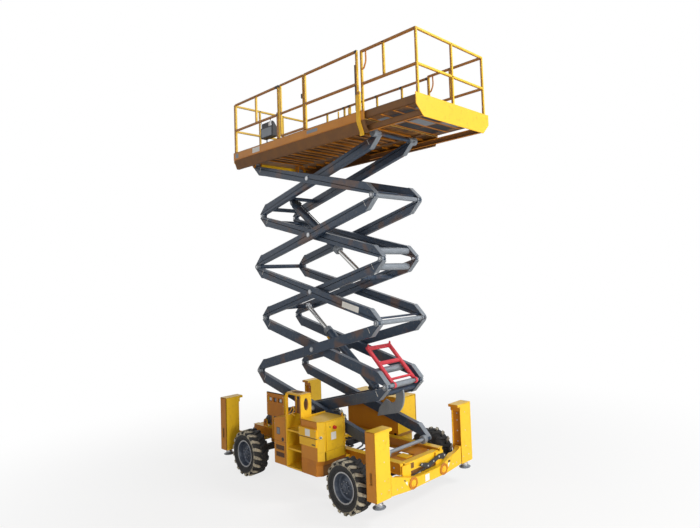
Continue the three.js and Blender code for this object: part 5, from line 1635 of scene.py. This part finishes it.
def add_deck():
    deck = Weldment()
    deck.block((DECK_REAR + 0.002, -0.894, FLOOR[0] + 0.004), (DECK_FRONT - 0.002, 0.894, FLOOR[1]),
               DECK_PLATE, 0.001)
    deck.block((DECK_REAR + 0.004, -0.886, FLOOR[0]), (DECK_FRONT - 0.004, 0.886, FLOOR[0] + 0.004),
               PAINTED_SHADE_UNDERSIDE, 0.0)
    for hand in (-1, 1):
        toe_board = [(0.896, BOARD_TOP), (0.888, BOARD_TOP), (0.888, 6.126), (0.896, 6.124)]
        deck.plate([(hand * y, z) for y, z in toe_board], 0, (DECK_REAR, DECK_FRONT), PAINTED_SHADE_ORANGE, 0.001)
        skirt = [(0.8955, 6.1235), (0.888, 6.127), (0.824, 5.969), (0.780, 5.969), (0.780, SKIRT_FOOT),
                 (0.832, SKIRT_FOOT)]
        deck.plate([(hand * y, z) for y, z in skirt], 0, (DECK_REAR, DECK_FRONT), PAINTED_SHADOW_BROWN, 0.003)
        board = mirrored(hand, 0.895, 0.900)
        deck.block((DECK_REAR, board[0], 6.138), (DECK_FRONT, board[1], BOARD_TOP), YELLOW, 0.002)
        lip = mirrored(hand, 0.878, 0.900)
        deck.block((DECK_REAR, lip[0], 6.271), (DECK_FRONT, lip[1], BOARD_TOP), YELLOW, 0.002)
        for i in range(13):
            x = DECK_REAR + 0.18 + 0.29 * i
            rib = mirrored(hand, 0.60, 0.82)
            deck.block((x, rib[0], 6.094), (x + 0.006, rib[1], 6.132), PAINTED_SHADE_ORANGE, 0.0)
            deck.block((x, rib[0], 6.094), (x + 0.040, rib[1], 6.098), PAINTED_SHADE_ORANGE, 0.0)
        track = mirrored(hand, 0.448, 0.530)
        deck.block((0.190, track[0], 6.1055), (1.530, track[1], 6.132), PAINTED_SHADE_UNDERSIDE, 0.002)
        for near, far in ((0.584, 0.604), (0.452, 0.474)):
            ear = mirrored(hand, near, far)
            shape = [(EAR_X - 0.060, 6.132), (EAR_X + 0.060, 6.132), (EAR_X + 0.058, TOP_PIN_Z)]
            shape += arc((EAR_X, TOP_PIN_Z), 0.054, 0, -180, 12)
            deck.plate(shape, 1, ear, PAINTED_SHADE_ORANGE, 0.002)
        pin = mirrored(hand, 0.452, 0.604)
        deck.rod((EAR_X, pin[0], TOP_PIN_Z), (EAR_X, pin[1], TOP_PIN_Z), 0.025, STEEL, 24)
    for i in range(9):
        x = -1.910 + 0.400 * i
        deck.block((x, -0.440, 6.094), (x + 0.006, 0.440, 6.132), PAINTED_SHADE_ORANGE, 0.001)
        deck.block((x, -0.440, 6.094), (x + 0.050, 0.440, 6.098), PAINTED_SHADE_ORANGE, 0.001)
        if i < 8:
            deck.block((x + 0.2, -0.440, 6.110), (x + 0.206, 0.440, 6.132), PAINTED_SHADE_UNDERSIDE, 0.001)
            deck.block((x + 0.2, -0.440, 6.110), (x + 0.236, 0.440, 6.114), PAINTED_SHADE_ORANGE, 0.001)
    deck.block((DECK_REAR, -0.894, 6.070), (DECK_REAR + 0.012, 0.894, BOARD_TOP), YELLOW, 0.003)
    deck.block((-2.320, -0.9012, 6.165), (-2.215, -0.8988, 6.250), GREY, 0.0)
    deck.block((-1.690, -0.9012, 6.160), (-1.440, -0.8985, 6.255), WHITE, 0.0)
    deck.block((0.060, -0.9012, 6.185), (0.360, -0.8985, 6.240), GREY, 0.0)
    deck.made("main_deck", "platform", "yellow_paint", "platform_deck")


add_deck()


# Roll-out deck -----------------------------------------------------------------------------------
# A shorter deck that rolls out over the main floor on two beams. Its front is a bent plate with cut
# corners, and the floor rests on cross members with shallow bays between them.
EXTENSION_REAR, EXTENSION_FRONT = -0.110, 2.650
EXTENSION_HALF = 0.850


def add_extension():
    deck = Weldment()
    front = EXTENSION_FRONT - 0.010
    deck.block((0.240, -EXTENSION_HALF, 6.153), (front, EXTENSION_HALF, 6.160), DECK_PLATE, 0.001)
    deck.block((0.244, -0.836, 6.150), (front, 0.836, 6.153), PAINTED_SHADE_UNDERSIDE, 0.0)
    for hand in (-1, 1):
        beam = mirrored(hand, 0.725, 0.770)
        web = mirrored(hand, 0.762, 0.770)
        deck.block((EXTENSION_REAR, web[0], 5.975), (front, web[1], 6.070), PAINTED_SHADOW_BROWN, 0.001)
        deck.block((EXTENSION_REAR, beam[0], 6.064), (front, beam[1], 6.070), PAINTED_SHADE_ORANGE, 0.001)
        deck.block((EXTENSION_REAR, beam[0], 5.975), (front, beam[1], 5.982), PAINTED_SHADE_ORANGE, 0.001)
        board = mirrored(hand, 0.838, 0.850)
        deck.block((1.400, board[0], 6.150), (front, board[1], BOARD_TOP), PAINTED_SHADOW_BROWN, 0.002)
        lip = mirrored(hand, 0.820, 0.850)
        deck.block((1.400, lip[0], 6.270), (front, lip[1], BOARD_TOP), YELLOW, 0.002)
        hanger = mirrored(hand, 0.735, 0.760)
        deck.block((front - 0.036, hanger[0], 6.065), (front, hanger[1], 6.152), PAINTED_SHADOW_BROWN, 0.001)
    deck.block((front - 0.040, -0.765, 6.030), (front, 0.765, 6.152), PAINTED_SHADOW_BROWN, 0.002)
    for i in range(4):
        x = 1.56 + 0.27 * i
        for y in (-0.69, -0.23, 0.23):
            # The sheets in the bays under the floor, mostly black and some grey, stand for the shade in the
            # bays: painted shade.
            tone = PLASTIC if (i + int(y * 5)) % 3 else GREY
            deck.block((x + 0.03, y + 0.02, 6.1480), (x + 0.24, y + 0.44, 6.1505), tone, 0.0)
        deck.block((x, -0.83, 6.1435), (x + 0.030, 0.83, 6.1505), PAINTED_SHADE_ORANGE, 0.001)
    fascia = [(-0.750, 5.955), (0.750, 5.955), (0.910, 6.115), (0.910, 6.290), (-0.910, 6.290),
              (-0.910, 6.115)]
    deck.plate(fascia, 0, (EXTENSION_FRONT - 0.014, EXTENSION_FRONT), YELLOW, 0.004)
    deck.block((EXTENSION_FRONT - 0.050, -0.78, 6.278), (EXTENSION_FRONT - 0.004, 0.78, 6.290), YELLOW, 0.003)
    deck.made("extension_deck_sheet", "extension", "yellow_paint", "extension_deck")


add_extension()


# Guard rails -------------------------------------------------------------------------------------
# Welded square tube with rounded corners: a top rail and a middle rail on tall posts, with short
# posts between the rails. Sections plug into sockets on the toe boards and are held by clips.
RAIL_HALF = 0.020
RAIL_LEVELS = (7.265, 6.735)
RAIL_FOOT = 6.2803
RAIL_LINE = 0.878
EXTENSION_LINE = 0.822


def square_tube(piece, start, end, finish, half=RAIL_HALF):
    """Rounded square tube about a line that runs along one axis."""
    start, end = Vector(start), Vector(end)
    run = max(range(3), key=lambda axis: abs(end[axis] - start[axis]))
    side = Vector((half, half, half))
    side[run] = 0
    low = Vector(map(min, start, end)) - side
    high = Vector(map(max, start, end)) + side
    piece.block(low, high, finish, 0.007)


def rail_run(piece, place, tall, short):
    """Both rails from the first tall post to the last, and all the posts."""
    for level in RAIL_LEVELS:
        square_tube(piece, (*place(tall[0]), level), (*place(tall[-1]), level), RAIL_YELLOW)
    for station, foot in [(s, RAIL_FOOT) for s in tall] + [(s, RAIL_LEVELS[1]) for s in short]:
        square_tube(piece, (*place(station), foot), (*place(station), RAIL_LEVELS[0] + 0.018), RAIL_YELLOW)
    for station in tall:
        x, y = place(station)
        for z in (6.42, 7.10):
            piece.rod((x, y - RAIL_HALF - 0.0015, z), (x, y + RAIL_HALF + 0.0015, z), 0.008, STEEL, 10)


def clip(piece, x, y, z):
    """A black rubber latch round the top rail."""
    piece.block((x - 0.028, y - 0.0215, z - 0.0260), (x + 0.028, y + 0.0215, z + 0.0199), PLASTIC, 0.005)


REAR_LINE = -2.378
POSTS = {"rear": -2.313, "short": -1.557, "gate_rear": -0.802, "gate_front": 0.021, "front": 1.385}


def on_line(y):
    return lambda x: (x, y)


def add_rails():
    right = Weldment()
    rail_run(right, on_line(-RAIL_LINE), [POSTS["rear"], POSTS["gate_rear"]], [POSTS["short"]])
    right.block((POSTS["gate_rear"] - 0.055, -0.894, 6.2804), (POSTS["gate_rear"] - 0.020, -0.862, 6.78),
                RAIL_YELLOW, 0.003)
    clip(right, POSTS["gate_rear"] - 0.06, -RAIL_LINE, RAIL_LEVELS[0])
    clip(right, POSTS["gate_rear"] + 0.0, -RAIL_LINE, RAIL_LEVELS[0])
    clip(right, POSTS["gate_rear"] - 0.03, -RAIL_LINE, RAIL_LEVELS[1])
    right.made("rear_right_guard_rail", "platform", "yellow_paint", "rear_right_rail")

    front = Weldment()
    rail_run(front, on_line(-RAIL_LINE), [POSTS["gate_front"], POSTS["front"]], [])
    clip(front, POSTS["front"] - 0.010, -RAIL_LINE, RAIL_LEVELS[0])
    front.block((POSTS["front"] - 0.046, -0.8965, 6.300), (POSTS["front"] - 0.020, -0.860, 7.05), PLASTIC,
                0.003)
    front.block((POSTS["front"] - 0.02, -0.8975, 6.285), (POSTS["front"] + 0.06, -0.859, 6.60), RAIL_YELLOW,
                0.006)
    hook = [(-0.8965, 6.560), (-0.9100, 6.540), (-0.9100, 6.120), (-0.8460, 5.965), (-0.8460, 5.910),
            (-0.8330, 5.900),
            (-0.8330, 5.9545), (-0.8965, 6.1135)]
    front.plate(hook, 0, (POSTS["front"] - 0.020, POSTS["front"] + 0.070), FRESH, 0.002)
    for x in (0.90, 1.16):
        square_tube(front, (x, -RAIL_LINE, RAIL_FOOT), (x, -RAIL_LINE, 6.40), RAIL_YELLOW, 0.012)
    front.made("front_right_guard_rail", "platform", "yellow_paint", "front_right_rail")

    left = Weldment()
    tall = [POSTS["rear"], -0.980, POSTS["gate_rear"], POSTS["gate_front"], 0.710, POSTS["front"]]
    rail_run(left, on_line(RAIL_LINE), tall, [POSTS["short"]])
    for x in tall[1:]:
        clip(left, x - 0.03, RAIL_LINE, RAIL_LEVELS[0])
    left.made("left_guard_rail", "platform", "yellow_paint", "left_rail")

    rear = Weldment()
    rail_run(rear, lambda y: (REAR_LINE, y), [-0.857, -0.285, 0.285, 0.857], [])
    rear.made("rear_guard_rail", "platform", "yellow_paint", "rear_rail")

    gate = Weldment()
    x0, x1 = -0.725, -0.032
    for z in (*RAIL_LEVELS, 6.318):
        square_tube(gate, (x0, -RAIL_LINE, z), (x1, -RAIL_LINE, z), RAIL_YELLOW, 0.018)
    for x in (x0, x1):
        square_tube(gate, (x, -RAIL_LINE, 6.300), (x, -RAIL_LINE, RAIL_LEVELS[0] + 0.017), RAIL_YELLOW, 0.018)
    for z in (6.50, 6.95):
        gate.rod((x0, -0.8955, z), (x0, -0.8605, z), 0.010, STEEL, 12)
    gate.block((x1 - 0.06, -0.894, 6.86), (x1 - 0.018, -0.862, 6.94), PLASTIC, 0.004)
    gate.made("entry_gate_frame", "gate", "yellow_paint", "entry_gate")

    roll = Weldment()
    x0, x1 = 1.440, 2.616
    for hand in (-1, 1):
        rail_run(roll, on_line(hand * EXTENSION_LINE), [x0, x1], [1.940])
        y = hand * EXTENSION_LINE
        grip = [(x0 + 0.10, y, 7.250), (x0 + 0.105, y, 7.08), (x0 + 0.05, y, 6.98), (x0 + 0.015, y, 6.97)]
        roll.pipe(grip, 0.013, PAINTED_SHADE_ORANGE, 0.07, 14)
    for level in RAIL_LEVELS:
        square_tube(roll, (x1, -EXTENSION_LINE, level), (x1, EXTENSION_LINE, level), RAIL_YELLOW)
    square_tube(roll, (x1, 0, 6.2903), (x1, 0, 7.27), RAIL_YELLOW)
    for y in (-EXTENSION_LINE, 0, EXTENSION_LINE):
        roll.block((x1 - 0.0195, y - 0.0195, 6.292 if y == 0 else 6.281), (x1 + 0.0198, y + 0.0195, 6.40),
                   RAIL_YELLOW, 0.003)
    roll.made("extension_guard_rails", "extension", "yellow_paint", "extension_rails")


add_rails()


# Platform controls -------------------------------------------------------------------------------
# A moulded box with a drive lever and switches, hung on the middle rail by two steel hooks; its
# lead drops and turns out to a gland on the toe board.
def add_platform_controls():
    low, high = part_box("platform_control_box")
    box = Weldment()
    x0, x1 = low.x, high.x
    body = [(low.y + 0.006, 6.400), (high.y, 6.400), (high.y, 6.560), (low.y + 0.050, 6.690),
            (low.y + 0.006, 6.690)]
    box.plate(body, 0, (x0, x1), PLASTIC, 0.010)
    for x in (x0 + 0.02, x1 - 0.06):
        box.block((x, low.y, 6.60), (x + 0.04, low.y + 0.006, 6.770), STEEL, 0.001)
        box.block((x, low.y, 6.764), (x + 0.04, low.y + 0.016, 6.770), STEEL, 0.001)
    slope = Vector((0, 0.55, 0.83)).normalized()
    middle = Vector(((x0 + x1) / 2, -0.765, 6.610))
    lever = middle + Vector((0.09, 0, 0))
    box.rod(lever, lever + slope * 0.060, 0.008, STEEL, 12)
    box.rod(lever + slope * 0.045, lever + slope * 0.078, 0.018, PLASTIC, 16, 0.006)
    stop = middle - Vector((0.13, 0, 0.01))
    box.rod(stop, stop + slope * 0.032, 0.020, RED_KNOB, 20)
    for dx in (-0.06, -0.02, 0.02):
        switch = middle + Vector((dx, 0, -0.012))
        box.rod(switch, switch + slope * 0.020, 0.008, STEEL, 12)
    box.block((x0 + 0.03, low.y + 0.0045, 6.42), (x1 - 0.03, low.y + 0.008, 6.58), GREY, 0.001)
    box.block((x1 - 0.12, low.y + 0.0035, 6.60), (x1 - 0.02, low.y + 0.008, 6.67), WHITE, 0.001)
    box.made("platform_controls", "platform", "dark_plastic", "platform_control_box")

    lead = Weldment()
    x = -1.370
    line = [(x, -0.775, 6.3997), (x, -0.775, 6.230), (x, -0.795, 6.210), (x, -0.8877, 6.210)]
    lead.pipe(line, 0.0105, HOSE, 0.05, 14)
    lead.rod((x, -0.775, 6.370), line[0], 0.0110, PLASTIC, 16)
    lead.rod(line[-1], (x, -0.866, 6.210), 0.0110, STEEL, 6)
    lead.made("platform_controls_lead", "platform", "dark_plastic", "platform_control_lead")


add_platform_controls()
